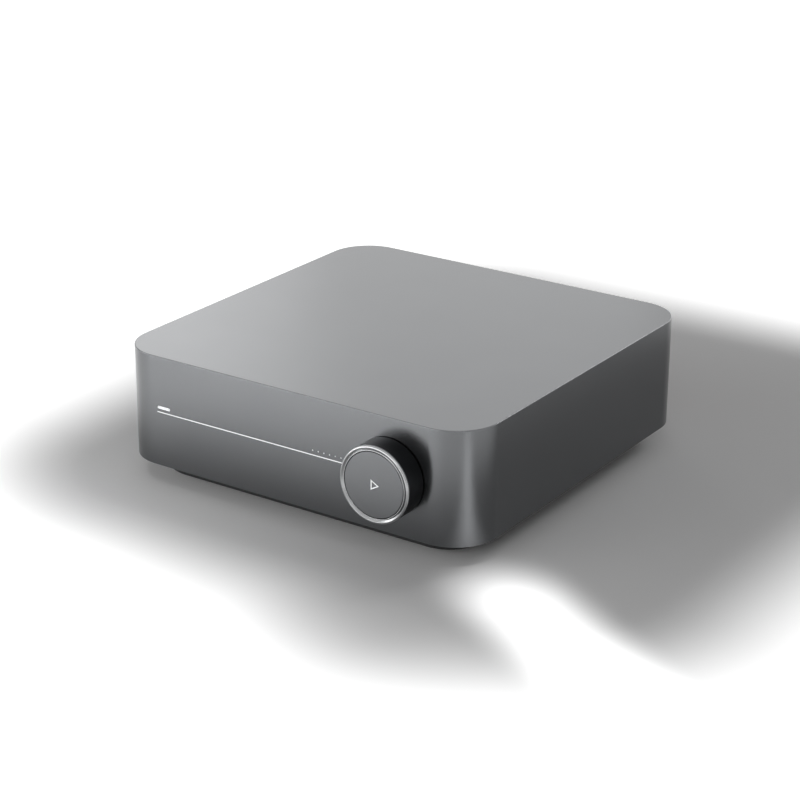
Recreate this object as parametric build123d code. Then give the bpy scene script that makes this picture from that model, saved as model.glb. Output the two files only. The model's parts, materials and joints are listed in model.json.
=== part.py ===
from build123d import *

import math
import os

# A network music streamer with a built-in amplifier, in millimetres.
# The origin is on the floor under the middle of the case. The front faces -Y, and +Z is up.

# Case: a shell cut from one block of aluminium, open below
case_width = 190.0
case_depth = 190.0
case_height = 52.7
corner_share = 0.1105
case_wall = 2.5
case_roof = 3.0
rim_fillet = 0.6
boss_radius = 4.0
boss_inset = 23.0

# Base: a moulded tray whose plinth stands back under the case
plinth_inset = 11.1
plinth_drop = 8.0
plinth_corner = 17.4
plinth_wall = 2.5
plinth_floor = 2.5
plinth_edge = 0.8
flange_thickness = 2.0
flange_recess = 1.0
flange_gap = 0.2
vent_width = 3.0
vent_length = 46.0
vent_pitch = 6.0
vent_count = 11

# Feet
foot_radius = 9.0
foot_standoff = 2.3
foot_recess = 0.5
foot_inset = 28.0
foot_edge = 0.4

# Screws that hold the tray to the case
base_screw_head_radius = 2.8
base_screw_head_height = 2.0
base_screw_radius = 1.5
base_screw_bite = 7.0
screw_tower_wall = 1.6
screw_tower_roof = 3.0

# Clearances that many fits share
overrun = 1.0
seat_gap = 0.1
running_gap = 0.05
cutout_gap = 0.25

# Light line, status window and volume dots on the front
line_inset = 23.5
line_drop = 0.25
line_thickness = 0.5
line_depth = 0.4
line_tuck = 3.0
window_length = 7.4
window_height = 1.5
marks_above_line = 2.15
lens_flange = 1.0
lens_flange_thickness = 0.8
dot_count = 6
dot_pitch = 2.98
dot_radius = 0.4
dot_gap = 7.7

# Front board with its light guides
front_board_height = 20.0
front_board_margin = 6.0
front_board_gap = 6.5
led_height = 0.8
led_gap = 0.1

# Knob
knob_inset = 40.0
knob_radius = 17.4
knob_projection = 12.0
knob_gap = 0.6
knob_travel = 0.5
knob_wall = 2.0
knob_web = 2.2
hub_radius = 5.0
hub_length = 3.8
bezel_height = 1.4
lip_width = 1.5
lip_round = 0.6
lip_bevel = 0.35
groove_depth = 0.8
ring_rise = 0.5
ring_width = 0.35
bezel_inner_radius = 15.1
cap_radius = 14.8
cap_recess = 0.2
cap_bevel = 0.2
mark_length = 4.2
mark_width = 4.7
mark_stroke = 0.5
mark_depth = 0.3

# Push encoder behind the knob
shaft_radius = 3.0
shaft_across_flat = 4.5
shaft_in_hub = 3.2
bush_radius = 3.5
bush_proud = 0.8
nut_across_flats = 10.0
nut_thickness = 2.2
encoder_width = 13.0
encoder_front_wall = 1.1
chamber_radius = 5.3
rotor_thickness = 2.7
rotor_end_gap = 0.1
retainer_width = 1.2
dome_radius = 2.5
dome_thickness = 0.6
dome_gap = 0.2
encoder_back_thickness = 1.0

# Rear panel in the window of the case
window_land = 2.0
rear_window_height = 40.0
rear_window_corner = 3.0
panel_thickness = 2.0

# Speaker posts, two by two
post_pitch = 19.05
post_projection = 12.0
collar_radius = 5.0
collar_height = 2.0
block_margin = 6.2
block_depth = 10.0
stud_radius = 3.0
stud_bore_radius = 2.0
stud_bore_depth = 18.0
stud_recess = 1.0
stud_tail = 4.5
wire_hole_radius = 1.4
wire_hole_gap = 0.3
washer_radius = 5.0
washer_thickness = 1.0
post_gap = 0.06
post_cap_radius = 6.0
post_cap_end = 0.8
post_cap_mouth_radius = 2.4
post_flute_depth = 0.4
post_flutes = 18
post_rim_width = 1.2
post_nut_across_flats = 8.0
post_nut_thickness = 2.5
tag_width = 3.0
tag_thickness = 0.6

# Phono jacks
rca_width = 10.0
rca_rise = 7.1
rca_body_margin = 6.5
rca_body_depth = 11.5
rca_reach = 9.0
rca_sleeve_radius = 4.15
rca_sleeve_bore = 3.6
rca_neck_radius = 3.95
rca_ring_radius = 5.2
rca_ring_thickness = 1.0
rca_insulator_recess = 0.8
rca_contact_radius = 2.15
rca_contact_bore = 1.6
rca_contact_recess = 1.3
sub_leg_depth = 5.0

# Screws in the rear panel
panel_screw_head_radius = 2.0
panel_screw_head_height = 1.4
panel_screw_radius = 1.1
panel_screw_length = 7.0

# Optical input with its shutter
optical_width = 10.5
optical_height = 10.4
optical_depth = 11.0
optical_proud = 1.6
optical_lip = 0.8
optical_mouth = 7.6
optical_key = 1.7
optical_side_wall = 0.9
optical_floor = 0.9
shutter_thickness = 0.7
shutter_pin_radius = 0.5
shutter_pin_length = 0.5
shutter_gap = 0.15
optical_lens_radius = 0.9
optical_lens_length = 2.0

# Screen, memory and network sockets
hdmi_width = 15.0
hdmi_height = 5.8
hdmi_depth = 12.0
hdmi_wall = 0.4
hdmi_corner_width = 2.4
hdmi_corner_height = 1.8
hdmi_tongue_width = 11.6
hdmi_tongue_thickness = 1.2
usb_width = 13.2
usb_height = 5.8
usb_depth = 14.0
usb_wall = 0.4
usb_tongue_width = 11.0
usb_tongue_thickness = 1.9
usb_tongue_gap = 0.6
socket_back = 1.5
socket_proud = 0.5
tongue_recess = 1.2
ethernet_width = 16.0
ethernet_height = 13.4
ethernet_depth = 15.5
ethernet_mouth_width = 12.0
ethernet_mouth_height = 8.4
ethernet_mouth_depth = 12.0
ethernet_mouth_rise = 3.4
latch_width = 6.3
latch_height = 1.6
contact_count = 8
contact_pitch = 1.02
contact_width = 0.4
contact_drop = 2.2
contact_inset = 2.0

# Mains inlet for a two-pin lead
inlet_width = 22.0
inlet_flange_height = 13.5
inlet_flange_thickness = 1.5
inlet_barrel_width = 20.0
inlet_barrel_height = 11.5
inlet_depth = 16.0
inlet_mouth_radius = 4.6
inlet_waist = 6.8
inlet_mouth_depth = 13.5
pin_pitch = 8.6
pin_radius = 1.2
pin_recess = 2.0

# Boards and what stands on them
board_thickness = 1.6
board_gap = 1.5
board_seam = 2.0
board_rear_gap = 0.5
board_middle_share = 0.37
standoff_across_flats = 6.0
standoff_inset = 5.0
standoff_bore_depth = 6.0
board_screw_radius = 1.45
board_screw_head_radius = 2.6
board_screw_head_height = 1.8
board_screw_bite = 4.0
transformer_share = 0.24
transformer_depth = 28.0
transformer_height = 25.0
transformer_core = 12.0
winding_overhang = 4.0
capacitor_share = 0.065
capacitor_height = 30.0
capacitor_gap_share = 0.019
capacitor_count = 3
heatsink_width = 22.0
heatsink_length = 46.0
heatsink_height = 24.0
heatsink_base = 4.0
fin_thickness = 1.6
fin_count = 5
chip_width = 12.0
chip_length = 16.0
chip_height = 1.4
choke_radius = 6.5
choke_bore = 3.0
choke_height = 9.0
choke_count = 4
choke_gap = 2.0
shield_share = 0.24
shield_length = 28.0
shield_height = 5.0
module_width = 14.0
module_gap = 3.2
module_height = 2.6
link_width = 8.0
link_length = 16.0
link_height = 6.0
ribbon_share = 0.09
ribbon_thickness = 0.3
ribbon_plug_margin = 2.0
ribbon_plug_depth = 4.0
ribbon_plug_height = 3.0
ribbon_bend = 9.0

# Heights above the floor
plinth_bottom = foot_standoff
case_bottom = plinth_bottom + plinth_drop
case_top = case_bottom + case_height
mid_height = case_bottom + case_height / 2
roof_underside = case_top - case_roof
tray_floor = plinth_bottom + plinth_floor
flange_bottom = case_bottom + flange_recess
flange_top = flange_bottom + flange_thickness
line_height = mid_height - line_drop
marks_height = line_height + marks_above_line
lower_row = mid_height - post_pitch / 2
upper_row = mid_height + post_pitch / 2
board_top = lower_row - rca_rise
board_bottom = board_top - board_thickness

# Widths and depths of the case and the plinth
corner_radius = corner_share * case_width
inner_width = case_width - 2 * case_wall
inner_depth = case_depth - 2 * case_wall
inner_corner = corner_radius - case_wall
plinth_width = case_width - 2 * plinth_inset
plinth_depth = case_depth - 2 * plinth_inset
front_face = -case_depth / 2
front_inside = front_face + case_wall
rear_face = case_depth / 2
rear_inside = rear_face - case_wall
panel_back = rear_inside - panel_thickness
boss_x = case_width / 2 - boss_inset
boss_y = case_depth / 2 - boss_inset

# Knob and encoder, from the front of the cap back to the switch
knob_x = case_width / 2 - knob_inset
knob_front = front_face - knob_projection
bezel_back = knob_front + bezel_height
knob_back = front_face - knob_gap
web_back = bezel_back + knob_web
hub_back = web_back + hub_length
bush_front = front_face - nut_thickness - bush_proud
chamber_front = front_inside + encoder_front_wall
rotor_front = chamber_front + rotor_end_gap
rotor_back = rotor_front + rotor_thickness
shaft_front = web_back - shaft_in_hub + hub_length
shaft_back = rotor_back + rotor_end_gap
dome_front = shaft_back + knob_travel + dome_gap
encoder_back = dome_front + dome_thickness
front_board_face = front_inside + front_board_gap
front_board_back = front_board_face + board_thickness

# Front marks, left to right
line_start = line_inset - case_width / 2
line_end = knob_x - knob_radius + line_tuck
window_x = line_start + window_length / 2
last_dot_x = knob_x - knob_radius - dot_gap
dots_x = [last_dot_x - dot_pitch * n for n in range(dot_count)]

# Rear connectors, spread evenly over the flat part of the case
rear_window_width = case_width - 2 * corner_radius - 2 * window_land
post_field = post_pitch + 2 * block_margin
row_widths = [post_field, rca_width, optical_width, hdmi_width, usb_width, ethernet_width, inlet_width]
row_gap = (rear_window_width - sum(row_widths)) / (len(row_widths) + 1)


def row_centre(place):
    """The X of a connector, counted from the end with the speaker posts."""
    before = sum(row_widths[:place]) + row_gap * (place + 1)
    return rear_window_width / 2 - before - row_widths[place] / 2


posts_x, rca_x, optical_x, hdmi_x, usb_x, ethernet_x, inlet_x = [row_centre(n) for n in range(7)]
sub_x = optical_x
right_x = posts_x + post_pitch / 2
left_x = posts_x - post_pitch / 2
post_places = {
    "right_plus": (right_x, upper_row),
    "right_minus": (right_x, lower_row),
    "left_plus": (left_x, upper_row),
    "left_minus": (left_x, lower_row),
}
rca_places = [(rca_x, upper_row), (rca_x, lower_row), (sub_x, upper_row)]

# Speaker post, from the tag inside to the end of the cap
post_end = rear_face + post_projection
block_back = panel_back - block_depth
collar_end = rear_inside + collar_height
cap_start = collar_end + washer_thickness
stud_end = post_end - stud_recess
stud_start = block_back - stud_tail
wire_hole_y = collar_end + wire_hole_gap + wire_hole_radius

# Sockets along the rear
rca_ring_front = rear_inside + rca_ring_thickness
rca_end = rear_inside + rca_reach
optical_front = rear_inside + optical_proud
optical_back = panel_back - optical_depth
optical_height_centre = board_top + optical_height / 2
socket_front = rear_inside + socket_proud
inlet_front = rear_inside + inlet_flange_thickness
inlet_height = board_top + inlet_barrel_height / 2
inlet_floor = inlet_front - inlet_mouth_depth
ethernet_ceiling = board_top + ethernet_mouth_rise + ethernet_mouth_height
ethernet_back = socket_front - ethernet_depth
ethernet_mouth_back = socket_front - ethernet_mouth_depth

# Boards
board_side = boss_x - boss_radius - board_gap
board_front = -boss_y + boss_radius + board_gap
board_rear = panel_back - board_rear_gap
board_width = 2 * board_side
transformer_width = transformer_share * board_width
capacitor_radius = capacitor_share * board_width
capacitor_gap = capacitor_gap_share * board_width
shield_width = shield_share * board_width
ribbon_width = ribbon_share * board_width
ribbon_plug_width = ribbon_width + 2 * ribbon_plug_margin
seam_x = (ethernet_x - ethernet_width / 2 + inlet_x + inlet_width / 2) / 2
main_left = seam_x + board_seam / 2
power_right = seam_x - board_seam / 2
middle_y = board_front + board_middle_share * (board_rear - board_front)
main_front = middle_y + board_seam / 2
power_rear = middle_y - board_seam / 2
standoff_places = [
    (main_left + standoff_inset, main_front + standoff_inset),
    (board_side - standoff_inset, main_front + standoff_inset),
    (main_left + standoff_inset, block_back - 2 * standoff_inset),
    (board_side - standoff_inset, block_back - 3 * standoff_inset),
    (standoff_inset - board_side, board_front + standoff_inset),
    (board_side - standoff_inset, board_front + standoff_inset),
    (board_side - standoff_inset, power_rear - standoff_inset),
    (standoff_inset - board_side, block_back - 2 * standoff_inset),
]


def z_solid(outline, low, high):
    """Carry an outline drawn in X and Y up from one height to another."""
    return extrude(Pos(0, 0, low) * outline, amount=high - low)


def y_solid(outline, front, back):
    """Carry an outline drawn in X and Z back from one depth to another."""
    plane = Plane(origin=(0, back, 0), x_dir=(1, 0, 0), z_dir=(0, -1, 0))
    return extrude(plane * outline, amount=back - front)


def y_rod(radius, x, z, front, back):
    return y_solid(Pos(x, z) * Circle(radius), front, back)


def y_tube(outer, inner, x, z, front, back):
    return y_solid(Pos(x, z) * (Circle(outer) - Circle(inner)), front, back)


def y_block(width, height, x, z, front, back):
    return y_solid(Pos(x, z) * Rectangle(width, height), front, back)


def z_rod(radius, x, y, low, high):
    return z_solid(Pos(x, y) * Circle(radius), low, high)


def z_block(width, depth, x, y, low, high):
    return z_solid(Pos(x, y) * Rectangle(width, depth), low, high)


def turned(profile, x, z):
    """Turn a closed profile of radius and Y about a line along Y."""
    face = make_face(Polyline(*profile, close=True))
    return Pos(x, 0, z) * revolve(face, axis=Axis.Y)


def group(pieces):
    """Separate solids that share one node."""
    return Compound([solid for piece in pieces for solid in piece.solids()])


def corner_places(x, y):
    return [(x, y), (-x, y), (-x, -y), (x, -y)]


def flatted(radius, across):
    """A round outline with one flat, as on the shaft."""
    return Circle(radius) - Pos(0, across) * Rectangle(2 * radius, 2 * radius)


# Case and base


def case_shell():
    outline = RectangleRounded(case_width, case_depth, corner_radius)
    shell = z_solid(outline, case_bottom, case_top)
    shell = fillet(shell.edges().group_by(Axis.Z)[-1], rim_fillet)
    hollow = RectangleRounded(inner_width, inner_depth, inner_corner)
    shell -= z_solid(hollow, case_bottom - overrun, roof_underside)
    for x, y in corner_places(boss_x, boss_y):
        shell += z_rod(boss_radius, x, y, flange_top, roof_underside)
        bore_end = flange_top + base_screw_bite + overrun
        shell -= z_rod(base_screw_radius + seat_gap, x, y, flange_top, bore_end)
    window = RectangleRounded(rear_window_width, rear_window_height, rear_window_corner)
    shell -= y_solid(Pos(0, mid_height) * window, rear_inside - overrun, rear_face + overrun)
    shell -= y_rod(bush_radius + seat_gap, knob_x, mid_height, front_face - overrun, front_inside + overrun)
    shell -= accent_line()
    shell -= status_slot(seat_gap, front_face - overrun, front_inside + overrun)
    for x in dots_x:
        shell -= y_rod(dot_radius, x, marks_height, front_face - overrun, front_inside + overrun)
    return shell


def base_tray():
    flange_outline = RectangleRounded(
        inner_width - 2 * flange_gap, inner_depth - 2 * flange_gap, inner_corner - flange_gap
    )
    flange = z_solid(flange_outline, flange_bottom, flange_top)
    plinth_outline = RectangleRounded(plinth_width, plinth_depth, plinth_corner)
    plinth = z_solid(plinth_outline, plinth_bottom, flange_bottom)
    plinth = fillet(plinth.edges().group_by(Axis.Z)[0], plinth_edge)
    hollow = RectangleRounded(
        plinth_width - 2 * plinth_wall, plinth_depth - 2 * plinth_wall, plinth_corner - plinth_wall
    )
    tray = flange + plinth - z_solid(hollow, tray_floor, flange_top + overrun)
    well_top = flange_top - screw_tower_roof
    well_radius = base_screw_head_radius + 2 * seat_gap
    for x, y in corner_places(boss_x, boss_y):
        tray += z_rod(well_radius + screw_tower_wall, x, y, tray_floor, flange_top)
        tray -= z_rod(well_radius, x, y, plinth_bottom - overrun, well_top)
        tray -= z_rod(base_screw_radius + seat_gap, x, y, well_top, flange_top + overrun)
    for x, y in foot_places():
        tray -= z_rod(foot_radius + seat_gap, x, y, plinth_bottom - overrun, plinth_bottom + foot_recess)
    for n in range(vent_count):
        x = vent_pitch * (n - (vent_count - 1) / 2)
        slot = Pos(x, 0) * SlotOverall(vent_length, vent_width, rotation=90)
        tray -= z_solid(slot, plinth_bottom - overrun, tray_floor + overrun)
    return tray


def foot_places():
    return corner_places(plinth_width / 2 - foot_inset, plinth_depth / 2 - foot_inset)


def rubber_feet():
    """Four soft discs, glued in shallow recesses."""
    feet = []
    for x, y in foot_places():
        foot = z_rod(foot_radius, x, y, 0, plinth_bottom + foot_recess)
        feet.append(chamfer(foot.edges().group_by(Axis.Z)[0], foot_edge))
    return group(feet)


def base_screws():
    well_top = flange_top - screw_tower_roof
    screws = []
    for x, y in corner_places(boss_x, boss_y):
        head = z_rod(base_screw_head_radius, x, y, well_top - base_screw_head_height, well_top)
        screws.append(head + z_rod(base_screw_radius, x, y, well_top, flange_top + base_screw_bite))
    return group(screws)


# Light line, status window and volume dots


def accent_line():
    length = line_end - line_start
    middle = (line_start + line_end) / 2
    return y_block(length, line_thickness, middle, line_height, front_face, front_face + line_depth)


def status_slot(growth, front, back):
    slot = SlotOverall(window_length + 2 * growth, window_height + 2 * growth)
    return y_solid(Pos(window_x, marks_height) * slot, front, back)


def guide_back():
    return front_board_face - led_height - led_gap


def status_window():
    """A clear pill that fills the slot, with the light guide that feeds it."""
    lens = status_slot(0, front_face, front_inside)
    return lens + status_slot(lens_flange, front_inside, guide_back())


def dots_middle():
    return (dots_x[0] + dots_x[-1]) / 2


def dots_strip(margin, front, back):
    length = dots_x[0] - dots_x[-1] + 2 * margin
    return y_block(length, 2 * margin, dots_middle(), marks_height, front, back)


def volume_lens_strip():
    """Six clear pins on one flange with its light guide. The pins fill the holes of the volume scale."""
    flange_back = front_inside + lens_flange_thickness
    strip = dots_strip(2 * lens_flange, front_inside, flange_back)
    strip += dots_strip(lens_flange, flange_back, guide_back())
    for x in dots_x:
        strip += y_rod(dot_radius - running_gap, x, marks_height, front_face, front_inside)
    return strip


def front_board():
    """The board behind the front wall, with its lamps and the plug of the ribbon."""
    left = line_start - front_board_margin
    right = knob_x + encoder_width / 2 + front_board_margin
    middle = (left + right) / 2
    board = y_block(right - left, front_board_height, middle, mid_height, front_board_face, front_board_back)
    lamp_front = front_board_face - led_height
    board += y_block(window_length, window_height, window_x, marks_height, lamp_front, front_board_face)
    for x in dots_x:
        board += y_block(window_height, window_height, x, marks_height, lamp_front, front_board_face)
    for x in (-1, 1):
        rest_x = knob_x + x * (encoder_width / 2 - window_height)
        board += y_block(window_height, encoder_width, rest_x, mid_height, encoder_rear(), front_board_face)
    plug_back = front_board_back + ribbon_plug_depth
    board += y_block(
        ribbon_plug_width, ribbon_plug_height, ribbon_x(), ribbon_height(), front_board_back, plug_back
    )
    return board


def encoder_rear():
    return encoder_back + encoder_back_thickness


def ribbon_height():
    return mid_height - front_board_height / 2 + ribbon_plug_height


def ribbon_x():
    """Half way between the last capacitor and the transformer."""
    last_can_end = capacitor_x(capacitor_count - 1) + capacitor_radius
    return (last_can_end + transformer_x() - transformer_width / 2) / 2


# Knob and push encoder


def knob_skirt():
    """The turned body of the knob, with a web in front and a hub on the shaft."""
    inner = knob_radius - knob_wall
    profile = [
        (0, bezel_back),
        (knob_radius, bezel_back),
        (knob_radius, knob_back),
        (inner, knob_back),
        (inner, web_back),
        (hub_radius, web_back),
        (hub_radius, hub_back),
        (0, hub_back),
    ]
    skirt = turned(profile, knob_x, mid_height)
    socket = flatted(shaft_radius + running_gap, shaft_across_flat + running_gap)
    return skirt - y_solid(Pos(knob_x, mid_height) * socket, shaft_front, hub_back + overrun)


def knob_bezel():
    """A bright ring: a rounded lip, a groove and a thin inner ring."""
    lip_inner = knob_radius - lip_width
    ring_outer = bezel_inner_radius + ring_width
    groove_floor = knob_front + groove_depth
    ring_front = groove_floor - ring_rise
    profile = [
        (bezel_inner_radius, bezel_back),
        (bezel_inner_radius, ring_front),
        (ring_outer, ring_front),
        (ring_outer, groove_floor),
        (lip_inner, knob_front + lip_bevel),
        (lip_inner + lip_bevel, knob_front),
        (knob_radius, knob_front),
        (knob_radius, bezel_back),
    ]
    bezel = turned(profile, knob_x, mid_height)
    rim = [edge for edge in bezel.edges() if edge.geom_type == GeomType.CIRCLE]
    rim = [edge for edge in rim if edge.radius > knob_radius - running_gap]
    front_rim = sorted(rim, key=lambda edge: edge.center().Y)[0]
    return fillet(front_rim, lip_round)


def knob_cap():
    face = knob_front + cap_recess
    cap = y_rod(cap_radius, knob_x, mid_height, face, bezel_back)
    cap = chamfer(cap.edges().group_by(Axis.Y)[0], cap_bevel)
    return cap - play_mark(face - overrun)


def play_mark(front):
    """The outline of a triangle that points along the knob's +X."""
    corners = [
        (-mark_length / 3, mark_width / 2),
        (-mark_length / 3, -mark_width / 2),
        (2 * mark_length / 3, 0),
    ]
    triangle = make_face(Polyline(*corners, close=True))
    outline = triangle - offset(triangle, amount=-mark_stroke, kind=Kind.INTERSECTION)
    floor = knob_front + cap_recess + mark_depth
    return y_solid(Pos(knob_x, mid_height) * outline, front, floor)


def knob_play_mark():
    return play_mark(knob_front + cap_recess)


def knob_shaft():
    outline = Pos(knob_x, mid_height) * flatted(shaft_radius, shaft_across_flat)
    return y_solid(outline, shaft_front, shaft_back)


def encoder_housing():
    """A square can with a round chamber, and the bush that the panel nut holds."""
    can = y_block(encoder_width, encoder_width, knob_x, mid_height, front_inside, encoder_back)
    can += y_rod(bush_radius, knob_x, mid_height, bush_front, front_inside)
    can -= y_rod(shaft_radius + running_gap, knob_x, mid_height, bush_front - overrun, chamber_front)
    return can - y_rod(chamber_radius, knob_x, mid_height, chamber_front, encoder_back + overrun)


def encoder_nut():
    nut = RegularPolygon(nut_across_flats / 2, 6, major_radius=False) - Circle(bush_radius + running_gap)
    return y_solid(Pos(knob_x, mid_height) * nut, front_face - nut_thickness, front_face)


def encoder_rotor():
    """The code disc. It turns with the flat of the shaft, which slides in it."""
    disc = Circle(chamber_radius - 2 * running_gap)
    disc -= flatted(shaft_radius + running_gap, shaft_across_flat + running_gap)
    return y_solid(Pos(knob_x, mid_height) * disc, rotor_front, rotor_back)


def encoder_back_cover():
    outer = chamber_radius - 2 * running_gap
    cover = y_block(encoder_width, encoder_width, knob_x, mid_height, encoder_back, encoder_rear())
    retainer_front = rotor_back + rotor_end_gap
    return cover + y_tube(outer, outer - retainer_width, knob_x, mid_height, retainer_front, encoder_back)


def push_switch_dome():
    return y_rod(dome_radius, knob_x, mid_height, dome_front, encoder_back)


# Rear panel


def rear_panel():
    """A flat plate behind the window, held between the roof and the tray."""
    width = rear_window_width + 2 * window_land
    height = roof_underside - flange_top
    middle = (roof_underside + flange_top) / 2
    front, back = panel_back - overrun, rear_inside + overrun
    panel = y_block(width, height, 0, middle, panel_back, rear_inside)
    for x, z in post_places.values():
        panel -= y_rod(collar_radius + cutout_gap, x, z, front, back)
    for x, z in rca_places:
        panel -= y_rod(rca_neck_radius + cutout_gap, x, z, front, back)
    for x, z in panel_screw_places():
        panel -= y_rod(panel_screw_radius + seat_gap, x, z, front, back)
    panel -= y_solid(optical_outline(cutout_gap), front, back)
    panel -= y_solid(hdmi_outline(cutout_gap), front, back)
    panel -= y_solid(usb_outline(cutout_gap), front, back)
    panel -= y_solid(ethernet_outline(cutout_gap), front, back)
    return panel - y_solid(inlet_barrel_outline(cutout_gap), front, back)


def panel_screw_places():
    return [(posts_x, mid_height), (rca_x, mid_height)]


def panel_screws():
    screws = []
    for x, z in panel_screw_places():
        head = y_rod(panel_screw_head_radius, x, z, rear_inside, rear_inside + panel_screw_head_height)
        tip = rear_inside - panel_screw_length
        screws.append(head + y_rod(panel_screw_radius, x, z, tip, rear_inside))
    return group(screws)


def screw_hole(x, z):
    return y_rod(panel_screw_radius + seat_gap, x, z, rear_inside - panel_screw_length - overrun, rear_inside)


# Speaker posts


def terminal_block():
    """A moulded block behind the panel, with a collar for each post."""
    top = upper_row + block_margin
    block = y_block(post_field, top - board_top, posts_x, (top + board_top) / 2, block_back, panel_back)
    for x, z in post_places.values():
        block += y_rod(collar_radius, x, z, panel_back, collar_end)
        block -= y_rod(stud_radius + seat_gap, x, z, block_back - overrun, collar_end + overrun)
    return block - screw_hole(posts_x, mid_height)


def solder_tag(x, z):
    """A strip from the tail of a stud down to the board, set to one side where another stud is below."""
    side = stud_radius + tag_width if z > mid_height else 0
    arm_middle, arm_length = x + side / 2, side + tag_width
    arm = y_block(arm_length, tag_width, arm_middle, z, stud_start, stud_start + tag_thickness)
    drop = z - board_top
    return arm + y_block(tag_width, drop, x + side, z - drop / 2, stud_start, stud_start + tag_thickness)


def post_studs():
    """Metal studs with a socket for a 4 mm plug and a cross hole for bare wire."""
    studs = []
    for x, z in post_places.values():
        stud = y_rod(stud_radius, x, z, stud_start, stud_end) + solder_tag(x, z)
        stud -= y_rod(stud_bore_radius, x, z, stud_end - stud_bore_depth, stud_end + overrun)
        stud -= z_rod(wire_hole_radius, x, wire_hole_y, z - 2 * stud_radius, z + 2 * stud_radius)
        studs.append(stud)
    return group(studs)


def post_nuts():
    outline = RegularPolygon(post_nut_across_flats / 2, 6, major_radius=False)
    outline -= Circle(stud_radius + running_gap)
    front = block_back - post_nut_thickness
    return group([y_solid(Pos(x, z) * outline, front, block_back) for x, z in post_places.values()])


def post_washer(x, z):
    return y_tube(washer_radius, stud_radius + post_gap, x, z, collar_end, cap_start)


def post_cap(x, z):
    """A grip nut with flutes. Its open end lets a plug into the stud."""
    points = []
    for n in range(2 * post_flutes):
        radius = post_cap_radius - post_flute_depth * (n % 2)
        angle = math.pi * n / post_flutes
        points.append((radius * math.cos(angle), radius * math.sin(angle)))
    fluted = Pos(x, z) * make_face(Polyline(*points, close=True))
    rim = post_end - post_rim_width
    cap = y_solid(fluted, cap_start, rim)
    cap += y_rod(post_cap_radius - post_flute_depth, x, z, rim, post_end)
    cap -= y_rod(stud_radius + post_gap, x, z, cap_start - overrun, post_end - post_cap_end)
    return cap - y_rod(post_cap_mouth_radius, x, z, cap_start, post_end + overrun)


# Phono jacks


def line_in_body():
    top = upper_row + rca_body_margin
    middle = (top + board_top) / 2
    body = y_block(rca_width, top - board_top, rca_x, middle, panel_back - rca_body_depth, panel_back)
    return body - screw_hole(rca_x, mid_height)


def sub_out_body():
    """A jack on a leg, which reaches over the optical input."""
    top = upper_row + rca_body_margin
    back = panel_back - rca_body_depth
    body = y_block(rca_width, 2 * rca_body_margin, sub_x, upper_row, back, panel_back)
    leg = y_block(rca_width, top - board_top, sub_x, (top + board_top) / 2, back - sub_leg_depth, back)
    return body + leg


def rca_sleeves():
    sleeves = []
    for x, z in rca_places:
        profile = [
            (rca_sleeve_bore, panel_back),
            (rca_neck_radius, panel_back),
            (rca_neck_radius, rca_ring_front),
            (rca_sleeve_radius, rca_ring_front),
            (rca_sleeve_radius, rca_end),
            (rca_sleeve_bore, rca_end),
        ]
        sleeves.append(turned(profile, x, z))
    return group(sleeves)


def rca_contacts():
    end = rca_end - rca_contact_recess
    radius, bore = rca_contact_radius, rca_contact_bore
    return group([y_tube(radius, bore, x, z, panel_back, end) for x, z in rca_places])


def rca_insulator(x, z):
    """A coloured ring outside the sleeve and a coloured core inside it."""
    core_end = rca_end - rca_insulator_recess
    core = y_tube(rca_sleeve_bore - seat_gap, rca_contact_radius + seat_gap, x, z, panel_back, core_end)
    ring = y_tube(rca_ring_radius, rca_neck_radius + seat_gap, x, z, rear_inside, rca_ring_front)
    return group([core, ring])


# Optical input


def keyed_square(size, key):
    """The mouth of the optical input: a square with its upper corners cut."""
    half = size / 2
    points = [(-half, -half), (half, -half), (half, half - key), (half - key, half), (key - half, half)]
    return make_face(Polyline(*points, (-half, half - key), close=True))


def optical_outline(growth):
    outline = Rectangle(optical_width + 2 * growth, optical_height + 2 * growth)
    return Pos(optical_x, optical_height_centre) * outline


def shutter_pivot():
    """The Y and Z of the shutter's hinge line."""
    y = optical_front - optical_lip - shutter_gap - shutter_pin_radius
    z = board_top + optical_height - optical_floor - shutter_gap - shutter_pin_radius
    return y, z


def optical_housing():
    """A chamber with a keyed mouth, two pivots for the flap and the receiver's lens."""
    middle = optical_height_centre
    y, z = shutter_pivot()
    lip_back = optical_front - optical_lip
    inner_width = optical_width - 2 * optical_side_wall
    inner_height = optical_height - 2 * optical_floor
    body = y_solid(optical_outline(0), optical_back, optical_front)
    body -= y_block(inner_width, inner_height, optical_x, middle, optical_back + socket_back, lip_back)
    mouth = Pos(optical_x, middle) * keyed_square(optical_mouth, optical_key)
    body -= y_solid(mouth, lip_back - overrun, optical_front + overrun)
    lens_floor = optical_back + socket_back
    body += y_rod(optical_lens_radius, optical_x, middle, lens_floor, lens_floor + optical_lens_length)
    return body - hinge_line(shutter_pin_radius + running_gap, inner_width / 2 + shutter_pin_length, y, z)


def hinge_line(radius, half_length, y, z):
    """A rod along X about the middle of the optical input."""
    plane = Plane(origin=(optical_x - half_length, y, z), x_dir=(0, 1, 0), z_dir=(1, 0, 0))
    return extrude(plane * Circle(radius), amount=2 * half_length)


def optical_shutter():
    """A sprung flap that hangs behind the mouth and swings inwards."""
    y, z = shutter_pivot()
    inner_width = optical_width - 2 * optical_side_wall
    width = inner_width - 2 * shutter_gap
    low = board_top + optical_floor + shutter_gap
    flap = z_block(width, shutter_thickness, optical_x, y, low, z)
    flap += hinge_line(shutter_pin_radius, width / 2, y, z)
    pin_reach = inner_width / 2 + shutter_pin_length - running_gap
    pins = hinge_line(shutter_pin_radius, pin_reach, y, z)
    return flap + pins


# Screen, memory and network sockets


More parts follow.
